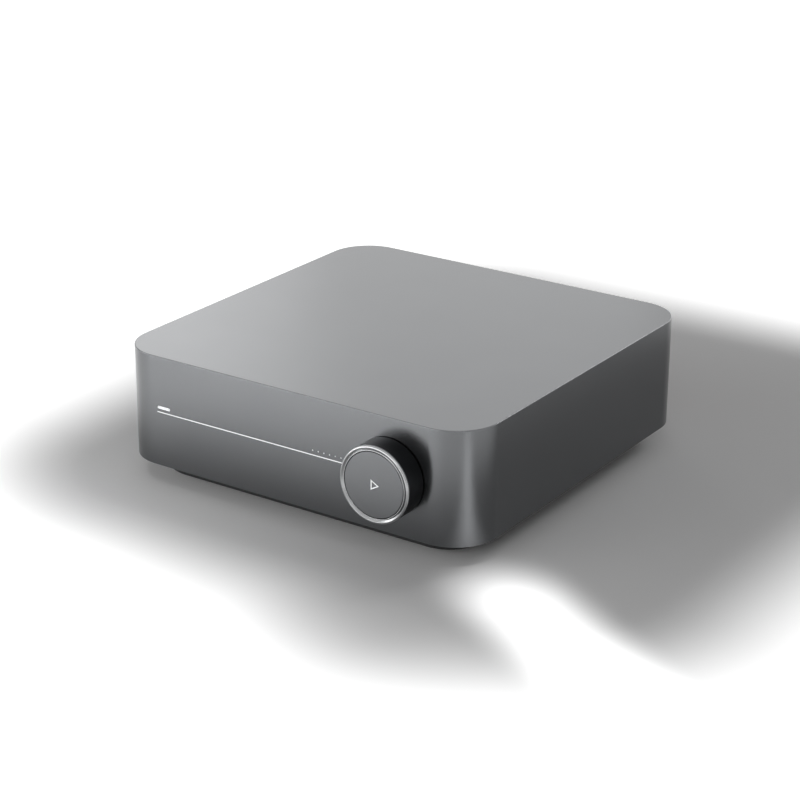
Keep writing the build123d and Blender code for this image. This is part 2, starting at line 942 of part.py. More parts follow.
def hdmi_outline(growth):
    half = hdmi_width / 2 + growth
    low, high = board_top - growth, board_top + hdmi_height + growth
    slope = hdmi_corner_width
    points = [
        (hdmi_x - half, high),
        (hdmi_x - half, low + hdmi_corner_height),
        (hdmi_x - half + slope, low),
        (hdmi_x + half - slope, low),
        (hdmi_x + half, low + hdmi_corner_height),
        (hdmi_x + half, high),
    ]
    return make_face(Polyline(*points, close=True))


def hdmi_shell():
    back = socket_front - hdmi_depth
    shell = y_solid(hdmi_outline(0), back, socket_front)
    return shell - y_solid(hdmi_outline(-hdmi_wall), back + socket_back, socket_front + overrun)


def hdmi_tongue():
    back = socket_front - hdmi_depth + socket_back
    middle = board_top + hdmi_height / 2 + hdmi_tongue_thickness / 2
    front = socket_front - tongue_recess
    return y_block(hdmi_tongue_width, hdmi_tongue_thickness, hdmi_x, middle, back, front)


def usb_outline(growth):
    outline = Rectangle(usb_width + 2 * growth, usb_height + 2 * growth)
    return Pos(usb_x, board_top + usb_height / 2) * outline


def usb_shell():
    back = socket_front - usb_depth
    shell = y_solid(usb_outline(0), back, socket_front)
    return shell - y_solid(usb_outline(-usb_wall), back + socket_back, socket_front + overrun)


def usb_tongue():
    back = socket_front - usb_depth + socket_back
    middle = board_top + usb_height - usb_wall - usb_tongue_gap - usb_tongue_thickness / 2
    front = socket_front - tongue_recess
    return y_block(usb_tongue_width, usb_tongue_thickness, usb_x, middle, back, front)


def ethernet_outline(growth):
    outline = Rectangle(ethernet_width + 2 * growth, ethernet_height + 2 * growth)
    return Pos(ethernet_x, board_top + ethernet_height / 2) * outline


def ethernet_housing():
    """A network jack with the notch for the plug's latch below."""
    front = socket_front + overrun
    body = y_solid(ethernet_outline(0), ethernet_back, socket_front)
    mouth_middle = ethernet_ceiling - ethernet_mouth_height / 2
    body -= y_block(
        ethernet_mouth_width, ethernet_mouth_height, ethernet_x, mouth_middle, ethernet_mouth_back, front
    )
    notch_middle = ethernet_ceiling - ethernet_mouth_height - latch_height / 2
    return body - y_block(latch_width, latch_height, ethernet_x, notch_middle, ethernet_mouth_back, front)


def ethernet_contacts():
    """Eight springy wires that slope down from the ceiling of the jack."""
    front = socket_front - contact_inset
    profile = [
        (front, ethernet_ceiling),
        (front - contact_width, ethernet_ceiling),
        (ethernet_mouth_back, ethernet_ceiling - contact_drop),
        (ethernet_mouth_back, ethernet_ceiling - contact_drop - contact_width),
    ]
    wires = []
    for n in range(contact_count):
        x = ethernet_x + contact_pitch * (n - (contact_count - 1) / 2) - contact_width / 2
        plane = Plane(origin=(x, 0, 0), x_dir=(0, 1, 0), z_dir=(1, 0, 0))
        wires.append(extrude(plane * make_face(Polyline(*profile, close=True)), amount=contact_width))
    return group(wires)


# Mains inlet


def inlet_barrel_outline(growth):
    outline = Rectangle(inlet_barrel_width + 2 * growth, inlet_barrel_height + 2 * growth)
    return Pos(inlet_x, inlet_height) * outline


def inlet_housing():
    """A moulded inlet with a mouth in the shape of an eight."""
    body = y_solid(inlet_barrel_outline(0), inlet_front - inlet_depth, inlet_front)
    body += y_block(inlet_width, inlet_flange_height, inlet_x, inlet_height, rear_inside, inlet_front)
    mouth = Rectangle(pin_pitch, inlet_waist)
    for side in (-1, 1):
        mouth += Pos(side * pin_pitch / 2, 0) * Circle(inlet_mouth_radius)
    return body - y_solid(Pos(inlet_x, inlet_height) * mouth, inlet_floor, inlet_front + overrun)


def inlet_pins():
    end = inlet_front - pin_recess
    places = [inlet_x - pin_pitch / 2, inlet_x + pin_pitch / 2]
    return group([y_rod(pin_radius, x, inlet_height, inlet_floor, end) for x in places])


# Boards and what stands on them


def screw_clearance(x, y):
    return z_rod(board_screw_radius + seat_gap, x, y, board_bottom - overrun, board_top + overrun)


def with_screw_holes(board):
    for x, y in standoff_places:
        board -= screw_clearance(x, y)
    return board


def main_board():
    """The board under the sockets, with the amplifier chip and the plug of the ribbon."""
    width, depth = board_side - main_left, board_rear - main_front
    x, y = (board_side + main_left) / 2, (board_rear + main_front) / 2
    board = with_screw_holes(z_block(width, depth, x, y, board_bottom, board_top))
    chip_x, chip_y = heatsink_place()
    board += z_block(chip_width, chip_length, chip_x, chip_y, board_top, board_top + chip_height)
    plug_top = board_top + ribbon_plug_height
    plug = z_block(ribbon_plug_width, ribbon_plug_depth, ribbon_x(), main_plug_y(), board_top, plug_top)
    return board + plug


def main_plug_y():
    return main_front + 2 * ribbon_plug_depth


def power_board():
    """An L that runs along the front and back to the mains inlet."""
    front_width, front_depth = board_width, power_rear - board_front
    rear_width, rear_depth = power_right + board_side, board_rear - board_front
    board = z_block(front_width, front_depth, 0, (power_rear + board_front) / 2, board_bottom, board_top)
    rear_x, rear_y = (power_right - board_side) / 2, (board_rear + board_front) / 2
    board += z_block(rear_width, rear_depth, rear_x, rear_y, board_bottom, board_top)
    return with_screw_holes(board)


def board_standoffs():
    outline = RegularPolygon(standoff_across_flats / 2, 6, major_radius=False)
    standoffs = []
    for x, y in standoff_places:
        post = z_solid(Pos(x, y) * outline, tray_floor, board_bottom)
        bore = z_rod(board_screw_radius + seat_gap, x, y, board_bottom - standoff_bore_depth, board_bottom)
        standoffs.append(post - bore)
    return group(standoffs)


def board_screws():
    screws = []
    for x, y in standoff_places:
        head = z_rod(board_screw_head_radius, x, y, board_top, board_top + board_screw_head_height)
        screws.append(head + z_rod(board_screw_radius, x, y, board_bottom - board_screw_bite, board_top))
    return group(screws)


def transformer_x():
    return standoff_places[1][0] - transformer_width / 2 - 2 * standoff_inset


def power_transformer():
    """A ferrite core with its winding round the middle."""
    y = (power_rear + board_front) / 2
    high = board_top + transformer_height
    core = z_block(transformer_width, transformer_core, transformer_x(), y, board_top, high)
    length = transformer_width - 2 * winding_overhang
    low = board_top + winding_overhang
    return core + z_block(length, transformer_depth, transformer_x(), y, low, high - winding_overhang)


def capacitor_x(place):
    """The X of a can. The cans stand in a zigzag, one capacitor_gap apart."""
    first = -board_side + standoff_inset + standoff_across_flats + capacitor_radius
    return first + place * (2 * capacitor_radius + capacitor_gap) * math.cos(math.radians(30))


def power_capacitors():
    y = (power_rear + board_front) / 2
    cans = []
    for n in range(capacitor_count):
        side = (2 * (n % 2) - 1) * (2 * capacitor_radius + capacitor_gap) / 4
        can_top = board_top + capacitor_height
        cans.append(z_rod(capacitor_radius, capacitor_x(n), y + side, board_top, can_top))
    return group(cans)


def heatsink_place():
    x = board_side - standoff_inset - standoff_across_flats - heatsink_width / 2
    return x, (main_front + block_back) / 2


def amplifier_heatsink():
    """A finned block that stands on the amplifier chip."""
    x, y = heatsink_place()
    low = board_top + chip_height
    sink = z_block(heatsink_width, heatsink_length, x, y, low, low + heatsink_base)
    step = (heatsink_width - fin_thickness) / (fin_count - 1)
    for n in range(fin_count):
        fin_x = x - heatsink_width / 2 + fin_thickness / 2 + step * n
        sink += z_block(fin_thickness, heatsink_length, fin_x, y, low, low + heatsink_height)
    return sink


def output_chokes():
    """The coils of the output filter, in a row beside the heatsink."""
    x = heatsink_place()[0] - heatsink_width / 2 - choke_gap - choke_radius
    step = 2 * choke_radius + choke_gap
    ring = Circle(choke_radius) - Circle(choke_bore)
    coils = []
    for n in range(choke_count):
        y = heatsink_place()[1] + step * (n - (choke_count - 1) / 2)
        coils.append(z_solid(Pos(x, y) * ring, board_top, board_top + choke_height))
    return group(coils)


def processor_x():
    return main_left + 2 * standoff_inset + shield_width / 2


def processor_shield():
    """A pressed can over the processor: five walls and open below."""
    y = (main_front + block_back) / 2
    high = board_top + shield_height
    can = z_block(shield_width, shield_length, processor_x(), y, board_top, high)
    inside = z_block(
        shield_width - 2 * hdmi_wall, shield_length - 2 * hdmi_wall, processor_x(), y, board_top - overrun,
        high - hdmi_wall
    )
    return can - inside


def wireless_module():
    """The radio, between the processor's shield and the memory socket."""
    front = (main_front + block_back + shield_length) / 2 + module_gap
    back = socket_front - usb_depth - module_gap
    middle = (front + back) / 2
    return z_block(module_width, back - front, usb_x, middle, board_top, board_top + module_height)


def board_link():
    """The plug-in header that joins the two boards across their seam."""
    y = (main_front + block_back) / 2
    return z_block(link_width, link_length, seam_x, y, board_top, board_top + link_height)


def front_ribbon():
    """A flat cable from the front board down to the main board."""
    start = (front_board_back + ribbon_plug_depth, ribbon_height())
    end = (main_plug_y() - ribbon_plug_depth / 2, board_top + ribbon_plug_height / 2)
    points = [start, (start[0] + ribbon_bend, start[1]), (end[0] - ribbon_bend, end[1]), end]
    path = FilletPolyline(*points, radius=ribbon_bend)
    plane = Plane(origin=(ribbon_x() - ribbon_width / 2, 0, 0), x_dir=(0, 1, 0), z_dir=(1, 0, 0))
    return extrude(plane * trace(path, ribbon_thickness), amount=ribbon_width)


nodes = {
    "case_shell": case_shell,
    "base_tray": base_tray,
    "rear_panel": rear_panel,
    "rubber_feet": rubber_feet,
    "base_screws": base_screws,
    "panel_screws": panel_screws,
    "accent_line": accent_line,
    "status_window": status_window,
    "volume_lens_strip": volume_lens_strip,
    "front_board": front_board,
    "front_ribbon": front_ribbon,
    "knob_skirt": knob_skirt,
    "knob_bezel": knob_bezel,
    "knob_cap": knob_cap,
    "knob_play_mark": knob_play_mark,
    "knob_shaft": knob_shaft,
    "encoder_housing": encoder_housing,
    "encoder_nut": encoder_nut,
    "encoder_rotor": encoder_rotor,
    "encoder_back_cover": encoder_back_cover,
    "push_switch_dome": push_switch_dome,
    "terminal_block": terminal_block,
    "post_studs": post_studs,
    "post_nuts": post_nuts,
    "line_in_body": line_in_body,
    "sub_out_body": sub_out_body,
    "rca_sleeves": rca_sleeves,
    "rca_contacts": rca_contacts,
    "line_in_red_insulator": lambda: rca_insulator(*rca_places[1]),
    "line_in_white_insulator": lambda: rca_insulator(*rca_places[0]),
    "sub_out_insulator": lambda: rca_insulator(*rca_places[2]),
    "optical_housing": optical_housing,
    "optical_shutter": optical_shutter,
    "hdmi_shell": hdmi_shell,
    "hdmi_tongue": hdmi_tongue,
    "usb_shell": usb_shell,
    "usb_tongue": usb_tongue,
    "ethernet_housing": ethernet_housing,
    "ethernet_contacts": ethernet_contacts,
    "inlet_housing": inlet_housing,
    "inlet_pins": inlet_pins,
    "main_board": main_board,
    "power_board": power_board,
    "board_standoffs": board_standoffs,
    "board_screws": board_screws,
    "board_link": board_link,
    "power_transformer": power_transformer,
    "power_capacitors": power_capacitors,
    "amplifier_heatsink": amplifier_heatsink,
    "output_chokes": output_chokes,
    "processor_shield": processor_shield,
    "wireless_module": wireless_module,
}


def main():
    os.makedirs("parts", exist_ok=True)
    for name, build in nodes.items():
        export_step(build(), f"parts/{name}.step")
    for name, (x, z) in post_places.items():
        export_step(post_washer(x, z), f"parts/post_washer_{name}.step")
        export_step(post_cap(x, z), f"parts/post_cap_{name}.step")


if __name__ == "__main__":
    main()
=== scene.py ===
# %% [markdown]
# # A network music streamer
# The object is a low square box cut from one block of aluminium, with a big push knob on its front,
# a thin light line, and a full set of speaker posts and sockets on its back.
# The measured model comes first, as a fixed frame. Everything below is placed from its boxes.

# %% Load the measured model
import json
import math
from contextlib import contextmanager

import bpy
from mathutils import Matrix, Vector


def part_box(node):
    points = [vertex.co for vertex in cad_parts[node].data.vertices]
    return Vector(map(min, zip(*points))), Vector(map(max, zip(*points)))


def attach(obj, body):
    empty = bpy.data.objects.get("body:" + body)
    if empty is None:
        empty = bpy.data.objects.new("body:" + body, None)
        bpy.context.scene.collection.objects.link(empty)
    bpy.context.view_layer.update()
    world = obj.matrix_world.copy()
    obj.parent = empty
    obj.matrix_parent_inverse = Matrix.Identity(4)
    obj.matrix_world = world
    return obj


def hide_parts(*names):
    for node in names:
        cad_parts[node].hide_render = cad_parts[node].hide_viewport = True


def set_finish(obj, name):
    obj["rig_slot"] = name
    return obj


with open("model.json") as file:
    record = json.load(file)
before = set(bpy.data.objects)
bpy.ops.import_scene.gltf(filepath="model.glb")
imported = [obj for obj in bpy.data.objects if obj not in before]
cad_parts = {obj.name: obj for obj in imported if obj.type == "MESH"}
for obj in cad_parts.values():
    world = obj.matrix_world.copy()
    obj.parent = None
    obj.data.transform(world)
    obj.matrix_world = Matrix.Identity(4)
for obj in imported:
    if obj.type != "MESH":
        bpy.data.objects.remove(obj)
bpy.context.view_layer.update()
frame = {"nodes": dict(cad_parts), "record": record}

mm = 0.001

# %% [markdown]
# ## The camera
# The photograph was taken from the right and a little above, with a long lens.
# A camera was fitted to the edges of the box, and these are its numbers. The camera looks at the middle
# of the case, and two small shifts and a small roll put the box where the photograph has it.

# %% Set the camera
case_low, case_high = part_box("case_shell")
case_middle = (case_low + case_high) / 2
camera_azimuth, camera_elevation = math.radians(34.151), math.radians(21.846)
camera_roll = math.radians(0.266)
camera_distance = 1012.54 * mm
camera_right_shift, camera_up_shift = -3.601 * mm, -8.923 * mm
lens_length, sensor_width = 97.847, 36.0


def camera_axes():
    """The camera's right, up and back directions."""
    azimuth, elevation, roll = camera_azimuth, camera_elevation, camera_roll
    back = Vector((math.sin(azimuth) * math.cos(elevation), -math.cos(azimuth) * math.cos(elevation),
                   math.sin(elevation)))
    right = Vector((math.cos(azimuth), math.sin(azimuth), 0))
    up = back.cross(right)
    rolled_right = right * math.cos(roll) + up * math.sin(roll)
    rolled_up = up * math.cos(roll) - right * math.sin(roll)
    return rolled_right, rolled_up, back


bpy.ops.object.camera_add()
camera = bpy.context.object
camera.name = "camera"
right, up, back = camera_axes()
camera.rotation_euler = Matrix((right, up, back)).transposed().to_euler()
camera.location = case_middle + back * camera_distance + right * camera_right_shift + up * camera_up_shift
camera.data.sensor_width = sensor_width
camera.data.lens = lens_length
bpy.context.scene.camera = camera
print("camera at", [round(value, 3) for value in camera.location])

# %% [markdown]
# ## Tools for modelling
# Every new piece starts as a primitive and is shaped in edit mode. An operator acts on all that is
# selected, so one helper clears the selection, and another picks points, edges or faces by their place
# before the operators run.

# %% Select points, edges and faces
tiny = 1e-6


def select_only(piece):
    bpy.ops.object.select_all(action="DESELECT")
    piece.select_set(True)
    bpy.context.view_layer.objects.active = piece


@contextmanager
def editing(piece, kind="VERT", chosen=None):
    """Edit mode, with the points, edges or faces selected that the test picks, or all of them."""
    select_only(piece)
    bpy.ops.object.mode_set(mode="EDIT")
    bpy.ops.mesh.select_mode(type=kind)
    bpy.ops.mesh.select_all(action="DESELECT" if chosen else "SELECT")
    if chosen:
        bpy.ops.object.mode_set(mode="OBJECT")
        mesh = piece.data
        parts = {"VERT": mesh.vertices, "EDGE": mesh.edges, "FACE": mesh.polygons}[kind]
        for part in parts:
            part.select = bool(chosen(mesh, part))
        bpy.ops.object.mode_set(mode="EDIT")
    yield
    bpy.ops.object.mode_set(mode="OBJECT")


def ends(mesh, edge):
    return [mesh.vertices[n].co for n in edge.vertices]


def upright(mesh, edge):
    first, second = ends(mesh, edge)
    return abs(first.x - second.x) < tiny and abs(first.y - second.y) < tiny


print("two places count as one when they are closer than", tiny / mm, "mm")

# %% [markdown]
# A primitive is made at its size and place. Both are then put into its mesh, so that each object stays at the
# origin. The export needs that, and a pattern of a material starts there.

# %% Make a block


def settle(piece, name):
    """Name a new piece and put its place and size into its mesh."""
    select_only(piece)
    bpy.ops.object.transform_apply(location=True, rotation=True, scale=True)
    piece.name = piece.data.name = name
    return piece


def block(name, low, high):
    """A cuboid between two corners."""
    low, high = Vector(low), Vector(high)
    bpy.ops.object.select_all(action="DESELECT")
    bpy.ops.mesh.primitive_cube_add(size=1, location=(low + high) / 2, scale=high - low)
    return settle(bpy.context.object, name)


print("the case fills a block of", [round(length / mm, 1) for length in case_high - case_low], "mm")

# %% [markdown]
# Modifiers do what is slow by hand. A Boolean takes one shape out of another, a Bevel rounds sharp edges, and
# Weighted Normal keeps the flat faces beside them flat. Each is applied at once, which leaves a plain mesh.

# %% Cut, round and smooth


def modify(piece, kind, **settings):
    """Add a modifier with its settings and apply it at once."""
    select_only(piece)
    bpy.ops.object.modifier_add(type=kind)
    modifier = piece.modifiers[-1]
    for key, value in settings.items():
        setattr(modifier, key, value)
    bpy.ops.object.modifier_apply(modifier=modifier.name)


def combine(piece, other, operation):
    """Add the other shape to the piece, or take it out, and delete the other shape."""
    modify(piece, "BOOLEAN", operation=operation, object=other, solver="EXACT")
    bpy.data.objects.remove(other)


def cut(piece, cutter):
    combine(piece, cutter, "DIFFERENCE")


def soften(piece, width, steps=2, angle=30):
    """Round the sharp edges of a piece."""
    modify(piece, "BEVEL", width=width, segments=steps, limit_method="ANGLE",
           angle_limit=math.radians(angle), harden_normals=False)


def smooth(piece, angle=35, weighted=True):
    """Shade soft curves smoothly, and keep flat faces flat."""
    select_only(piece)
    bpy.ops.object.shade_smooth_by_angle(angle=math.radians(angle))
    if weighted:
        modify(piece, "WEIGHTED_NORMAL", keep_sharp=True, weight=100)


print("helpers: modify, combine, cut, soften, smooth")

# %% [markdown]
# What repeats is modelled once and copied, and small parts of one kind are joined. Each finished piece then hangs
# on the body that it moves with. It is told its finish, and the measured nodes that it stands for are hidden.

# %% Copy, join and fit


def copied(template, name, place=(0, 0, 0), turn=(0, 0, 0)):
    """A copy with its own mesh, turned about the origin and moved to its place."""
    select_only(template)
    bpy.ops.object.duplicate()
    twin = bpy.context.object
    twin.rotation_euler, twin.location = turn, place
    return settle(twin, name)


def joined(name, parts):
    """Several separate parts as one piece."""
    bpy.ops.object.select_all(action="DESELECT")
    for part in parts:
        part.select_set(True)
    bpy.context.view_layer.objects.active = parts[0]
    bpy.ops.object.join()
    return settle(parts[0], name)


def scrap(*templates):
    for template in templates:
        bpy.data.objects.remove(template)


pieces = []


def fitted(piece, body, slot, *replaced):
    """Hang a finished piece on its body, name its finish, and hide the measured nodes it stands for."""
    if replaced:
        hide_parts(*replaced)
    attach(piece, body)
    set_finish(piece, slot)
    pieces.append(piece)
    print(f"{piece.name}: {len(piece.data.polygons)} faces, on {body}")
    return piece


# %% [markdown]
# ## The shell
# The real shell is milled from a block: straight walls with wide round corners, a flat roof and a fine
# rounded rim, hollow from below. Here a block gets its corners and its rim by bevels, and its hollow by an inset
# and an extrusion of the bottom face. The windows are then cut out, as a milling cutter would.

# %% Block out the shell
corner_radius = 21 * mm
wall, roof = 2.5 * mm, 3.0 * mm
rim_radius = 0.4 * mm
corner_steps, rim_steps = 40, 4


def round_corners(piece, radius, steps):
    with editing(piece, "EDGE", upright):
        bpy.ops.mesh.bevel(offset=radius, segments=steps, affect="EDGES")


shell = block("shell", case_low, case_high)
round_corners(shell, corner_radius, corner_steps)
with editing(shell, "EDGE", lambda mesh, edge: all(end.z > case_high.z - tiny for end in ends(mesh, edge))):
    bpy.ops.mesh.bevel(offset=rim_radius, segments=rim_steps, affect="EDGES")
with editing(shell, "FACE", lambda mesh, face: face.normal.z < -0.9):
    bpy.ops.mesh.inset(thickness=wall)
    bpy.ops.mesh.extrude_region_move(TRANSFORM_OT_translate={"value": (0, 0, case_high.z - roof - case_low.z)})
print("shell blocked out with", len(shell.data.polygons), "faces")

# %% [markdown]
# The openings are cut with plain cutters, made a little longer than the wall is thick. The first is the wide rear
# window, behind which the panel with the sockets stands.

# %% Cut the rear window
front, rear = case_low.y, case_high.y
past = 1.0 * mm


def along_y(mesh, edge):
    first, second = ends(mesh, edge)
    return abs(first.x - second.x) < tiny and abs(first.z - second.z) < tiny


def rounded_cutter(low, high, radius, steps=8):
    """A block whose edges along Y are round."""
    cutter = block("cutter", low, high)
    with editing(cutter, "EDGE", along_y):
        bpy.ops.mesh.bevel(offset=radius, segments=steps, affect="EDGES")
    return cutter


window_half, window_radius = Vector((72 * mm, 0, 20 * mm)), 3.0 * mm
window_middle = Vector((0, rear, case_middle.z))
window_depth = Vector((0, wall + past, 0))
cut(shell, rounded_cutter(window_middle - window_half - window_depth, window_middle + window_half + window_depth / 2,
                          window_radius))
print("rear window", [round(2 * half / mm) for half in (window_half.x, window_half.z)], "mm")

# %% [markdown]
# The status window is a short slot with round ends. The light line under it is a shallow groove that runs to the
# knob, and the measured model has the strip that fills it.

# %% Cut the slot and the groove
pill_low, pill_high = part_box("status_window")
pill_x, pill_z = (pill_low.x + pill_high.x) / 2, (pill_low.z + pill_high.z) / 2
pill_reach, pill_half = 3.6 * mm, 0.62 * mm
slot_gap = 0.18 * mm
slot_reach, slot_half = pill_reach + slot_gap, pill_half + slot_gap
cut(shell, rounded_cutter((pill_x - slot_reach, front - past, pill_z - slot_half),
                          (pill_x + slot_reach, front + wall + past, pill_z + slot_half), slot_half - tiny))
line_low, line_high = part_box("accent_line")
cut(shell, block("cutter", (line_low.x, front - past, line_low.z), line_high))
print("slot", round(2 * slot_reach / mm, 2), "mm long, groove", round((line_high.x - line_low.x) / mm, 1), "mm long")

# %% [markdown]
# Six fine holes let the volume dots shine through, and one large hole takes the bush of the knob's encoder. A
# cylinder stands along Z when it is added, so the cutter is turned to lie along Y.

# %% Drill the holes


def round_cutter(radius, x, z, start, end, steps=32):
    """A rod along Y between two places."""
    bpy.ops.object.select_all(action="DESELECT")
    bpy.ops.mesh.primitive_cylinder_add(vertices=steps, radius=radius, depth=end - start,
                                        location=(x, (start + end) / 2, z), rotation=(math.pi / 2, 0, 0))
    return settle(bpy.context.object, "cutter")


lens_low, lens_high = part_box("volume_lens_strip")
dot_radius, dot_pitch, dot_count = 0.32 * mm, 2.98 * mm, 6
dot_middle = (lens_low + lens_high) / 2
dots_x = [dot_middle.x + dot_pitch * (n - (dot_count - 1) / 2) for n in range(dot_count)]
for dot_x in dots_x:
    cut(shell, round_cutter(dot_radius, dot_x, dot_middle.z, front - past, front + wall + past, steps=16))
knob_low, knob_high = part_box("knob_skirt")
knob_middle = (knob_low + knob_high) / 2
bush_radius = 3.6 * mm
cut(shell, round_cutter(bush_radius, knob_middle.x, knob_middle.z, front - past, front + wall + past))
smooth(shell, angle=25)
fitted(shell, "chassis", "space_grey_aluminium", "case_shell")

# %% [markdown]
# The status window is a milky lens let into its slot, and the volume scale is six light pipes. Both stand a
# little behind the metal, and their front edges are round, so that a fine dark line stays about them.

# %% Make the lenses
lens_recess, lens_edge = 0.06 * mm, 0.22 * mm
pipe_gap, pipe_edge = 0.02 * mm, 0.12 * mm
lens = rounded_cutter((pill_x - pill_reach, front + lens_recess, pill_z - pill_half),
                      (pill_x + pill_reach, pill_high.y, pill_z + pill_half), pill_half - tiny, steps=10)
soften(lens, lens_edge, 3)
smooth(lens)
lens.name = lens.data.name = "status_lens"
fitted(lens, "chassis", "lit_white", "status_window")

pipes = []
for dot_x in dots_x:
    pipe = round_cutter(dot_radius - pipe_gap, dot_x, dot_middle.z, front + lens_recess, lens_high.y, steps=16)
    soften(pipe, pipe_edge)
    smooth(pipe)
    pipes.append(pipe)
fitted(joined("volume_light_pipes", pipes), "chassis", "lit_white", "volume_lens_strip")

# %% [markdown]
# ## The knob
# A knob is turned on a lathe, so it is made as a lathe makes it: half of its section is drawn as a chain of
# points, and Spin turns that chain about the knob's axis. The sharp corners are then rounded by a bevel.

# %% Turn pieces on a lathe
turn_steps = 128


def turned(name, section, x=0, z=0, steps=turn_steps, edge=0.0):
    """Spin a chain of (radius, y) points about a line along Y. The chain is closed, or ends on that line."""
    bpy.ops.object.select_all(action="DESELECT")
    bpy.ops.mesh.primitive_plane_add(size=mm, location=(x + section[0][0], section[0][1], z))
    piece = settle(bpy.context.object, name)
    with editing(piece):
        bpy.ops.mesh.merge(type="CENTER")
        for (radius, y), (next_radius, next_y) in zip(section, section[1:]):
            step = (next_radius - radius, next_y - y, 0)
            bpy.ops.mesh.extrude_vertices_move(TRANSFORM_OT_translate={"value": step})
    with editing(piece):
        bpy.ops.mesh.spin(steps=steps, angle=2 * math.pi, center=(x, 0, z), axis=(0, 1, 0))
    with editing(piece):
        bpy.ops.mesh.remove_doubles(threshold=tiny)
        bpy.ops.mesh.normals_make_consistent(inside=False)
    if edge:
        soften(piece, edge)
    smooth(piece)
    return piece


knob_x, knob_z = knob_middle.x, knob_middle.z
bezel_low, bezel_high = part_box("knob_bezel")
knob_radius = (knob_high.x - knob_low.x) / 2
knob_front, bezel_back, knob_back = bezel_low.y, bezel_high.y, knob_high.y
print("knob radius", round(knob_radius / mm, 2), "mm, from", round(knob_front / mm, 1), "to",
      round(knob_back / mm, 1))

# %% [markdown]
# The skirt is the knob's body: a cup, open at the back, with a web behind its face and a hub for the shaft. It looks
# darker than the case in the photograph, and gets a near-black copy of the case's metal: a painted shade in place of
# the dark reflections on its side.

# %% Turn the knob's skirt
skirt_wall, web, hub_radius, hub_length = 2.0 * mm, 2.2 * mm, 5.0 * mm, 3.8 * mm
skirt_inner, web_back, skirt_edge = knob_radius - skirt_wall, bezel_back + web, 0.12 * mm
skirt = turned("knob_body", [
    (0, bezel_back), (knob_radius, bezel_back), (knob_radius, knob_back), (skirt_inner, knob_back),
    (skirt_inner, web_back), (hub_radius, web_back), (hub_radius, web_back + hub_length), (0, web_back + hub_length)],
    knob_x, knob_z, edge=skirt_edge)
fitted(skirt, "knob", "space_grey_aluminium", "knob_skirt")

# %% [markdown]
# The lip around the knob's face is rounded over and cut bright. Behind it a groove slopes down to a thin ring, and
# the lip's outermost edge meets the skirt. The groove and that edge get the near-black metal, a painted shade. All of
# it is one section. The shaded faces are found by their distance from the axis, and get the second material.

# %% Turn the bright lip and ring
lip_width, lip_drop = 1.2 * mm, 0.3 * mm
lip_round, painted_shade_rim_width, lip_bevel = 0.8 * mm, 0.3 * mm, 0.06 * mm
groove_depth, ring_rise, ring_width = 0.8 * mm, 0.5 * mm, 0.35 * mm
ring_inner = 15.1 * mm
arc_points = 8


def quarter(radius_centre, y_centre, radius, start, end):
    """Points on an arc of the section, from one angle to another, in degrees."""
    angles = [math.radians(start + (end - start) * n / arc_points) for n in range(arc_points + 1)]
    return [(radius_centre + radius * math.cos(a), y_centre - radius * math.sin(a)) for a in angles]


groove_floor = knob_front + groove_depth
ring_top, ring_outer = groove_floor - ring_rise, ring_inner + ring_width
lip_inner = knob_radius - lip_width
lip_arc = quarter(knob_radius - lip_round, knob_front + lip_round, lip_round, 90, 0)
bezel = turned("knob_lip", [
    (ring_inner, bezel_back), (ring_inner, ring_top), (ring_outer, ring_top), (ring_outer, groove_floor),
    (lip_inner, knob_front + lip_drop), (lip_inner + lip_drop, knob_front)]
    + lip_arc + [(knob_radius, bezel_back), (ring_inner, bezel_back)], knob_x, knob_z, edge=lip_bevel)
fitted(bezel, "knob", "bright_cut_aluminium", "knob_bezel")


def from_knob_axis(point):
    return math.hypot(point.x - knob_x, point.z - knob_z)


margin = 0.02 * mm
# Painted shade: the groove and the outermost edge of the lip take the near-black metal.
painted_shade_faces = [face for face in bezel.data.polygons
              if ring_outer + margin < from_knob_axis(face.center) < lip_inner - margin
              or from_knob_axis(face.center) > knob_radius - painted_shade_rim_width]
for face in painted_shade_faces:
    face.material_index = 1
print("dark", len(painted_shade_faces), "faces")

# %% [markdown]
# ## The speaker posts
# Each post is a fluted grip nut on a gold-plated stud. A grip is moulded, so it is turned here as a round cap and
# the flutes are cut around it, all at once, with one ring of cutters. The mouth takes a banana plug, and has a
# gold ferrule in it. One cap is made, and the other three are copies of it.

# %% Turn one grip and cut its flutes
post_names = ["right_plus", "right_minus", "left_plus", "left_minus"]
post_boxes = {name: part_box("post_cap_" + name) for name in post_names}
grip_start, grip_end = post_boxes["left_plus"][0].y, post_boxes["left_plus"][1].y
grip_radius, grip_bore, mouth_radius, grip_wall = 6.0 * mm, 3.06 * mm, 2.4 * mm, 0.8 * mm
grip_round, grip_chamfer, mouth_chamfer = 1.2 * mm, 0.4 * mm, 0.3 * mm


def back_quarter(radius_centre, y_centre, radius):
    """An arc of the section from its outer side round to its rear end."""
    return [(r, 2 * y_centre - y) for r, y in quarter(radius_centre, y_centre, radius, 0, 90)]


def profile(points, start):
    """A chain of (radius, reach) in millimetres, with the reach counted from a place on Y, as metres."""
    return [(radius * mm, start + reach * mm) for radius, reach in points]


grip_step = grip_end - grip_wall
grip = turned("grip", [
    (grip_bore, grip_start), (grip_radius - grip_chamfer, grip_start), (grip_radius, grip_start + grip_chamfer)]
    + back_quarter(grip_radius - grip_round, grip_end - grip_round, grip_round)
    + [(mouth_radius + mouth_chamfer, grip_end), (mouth_radius, grip_end - mouth_chamfer), (mouth_radius, grip_step),
       (grip_bore, grip_step), (grip_bore, grip_start)], steps=72)
flute_count, flute_radius, flute_offset, flute_edge = 18, 0.8 * mm, 0.35 * mm, 0.3 * mm
flute_start, flute_end = grip_start + 1.5 * mm, grip_end - 1.6 * mm
flute = round_cutter(flute_radius, grip_radius + flute_offset, 0, flute_start, flute_end, steps=12)
soften(flute, flute_edge)
flutes = [copied(flute, "flute", turn=(0, 2 * math.pi * n / flute_count, 0)) for n in range(flute_count)]
scrap(flute)
cut(grip, joined("flutes", flutes))
smooth(grip, angle=30)
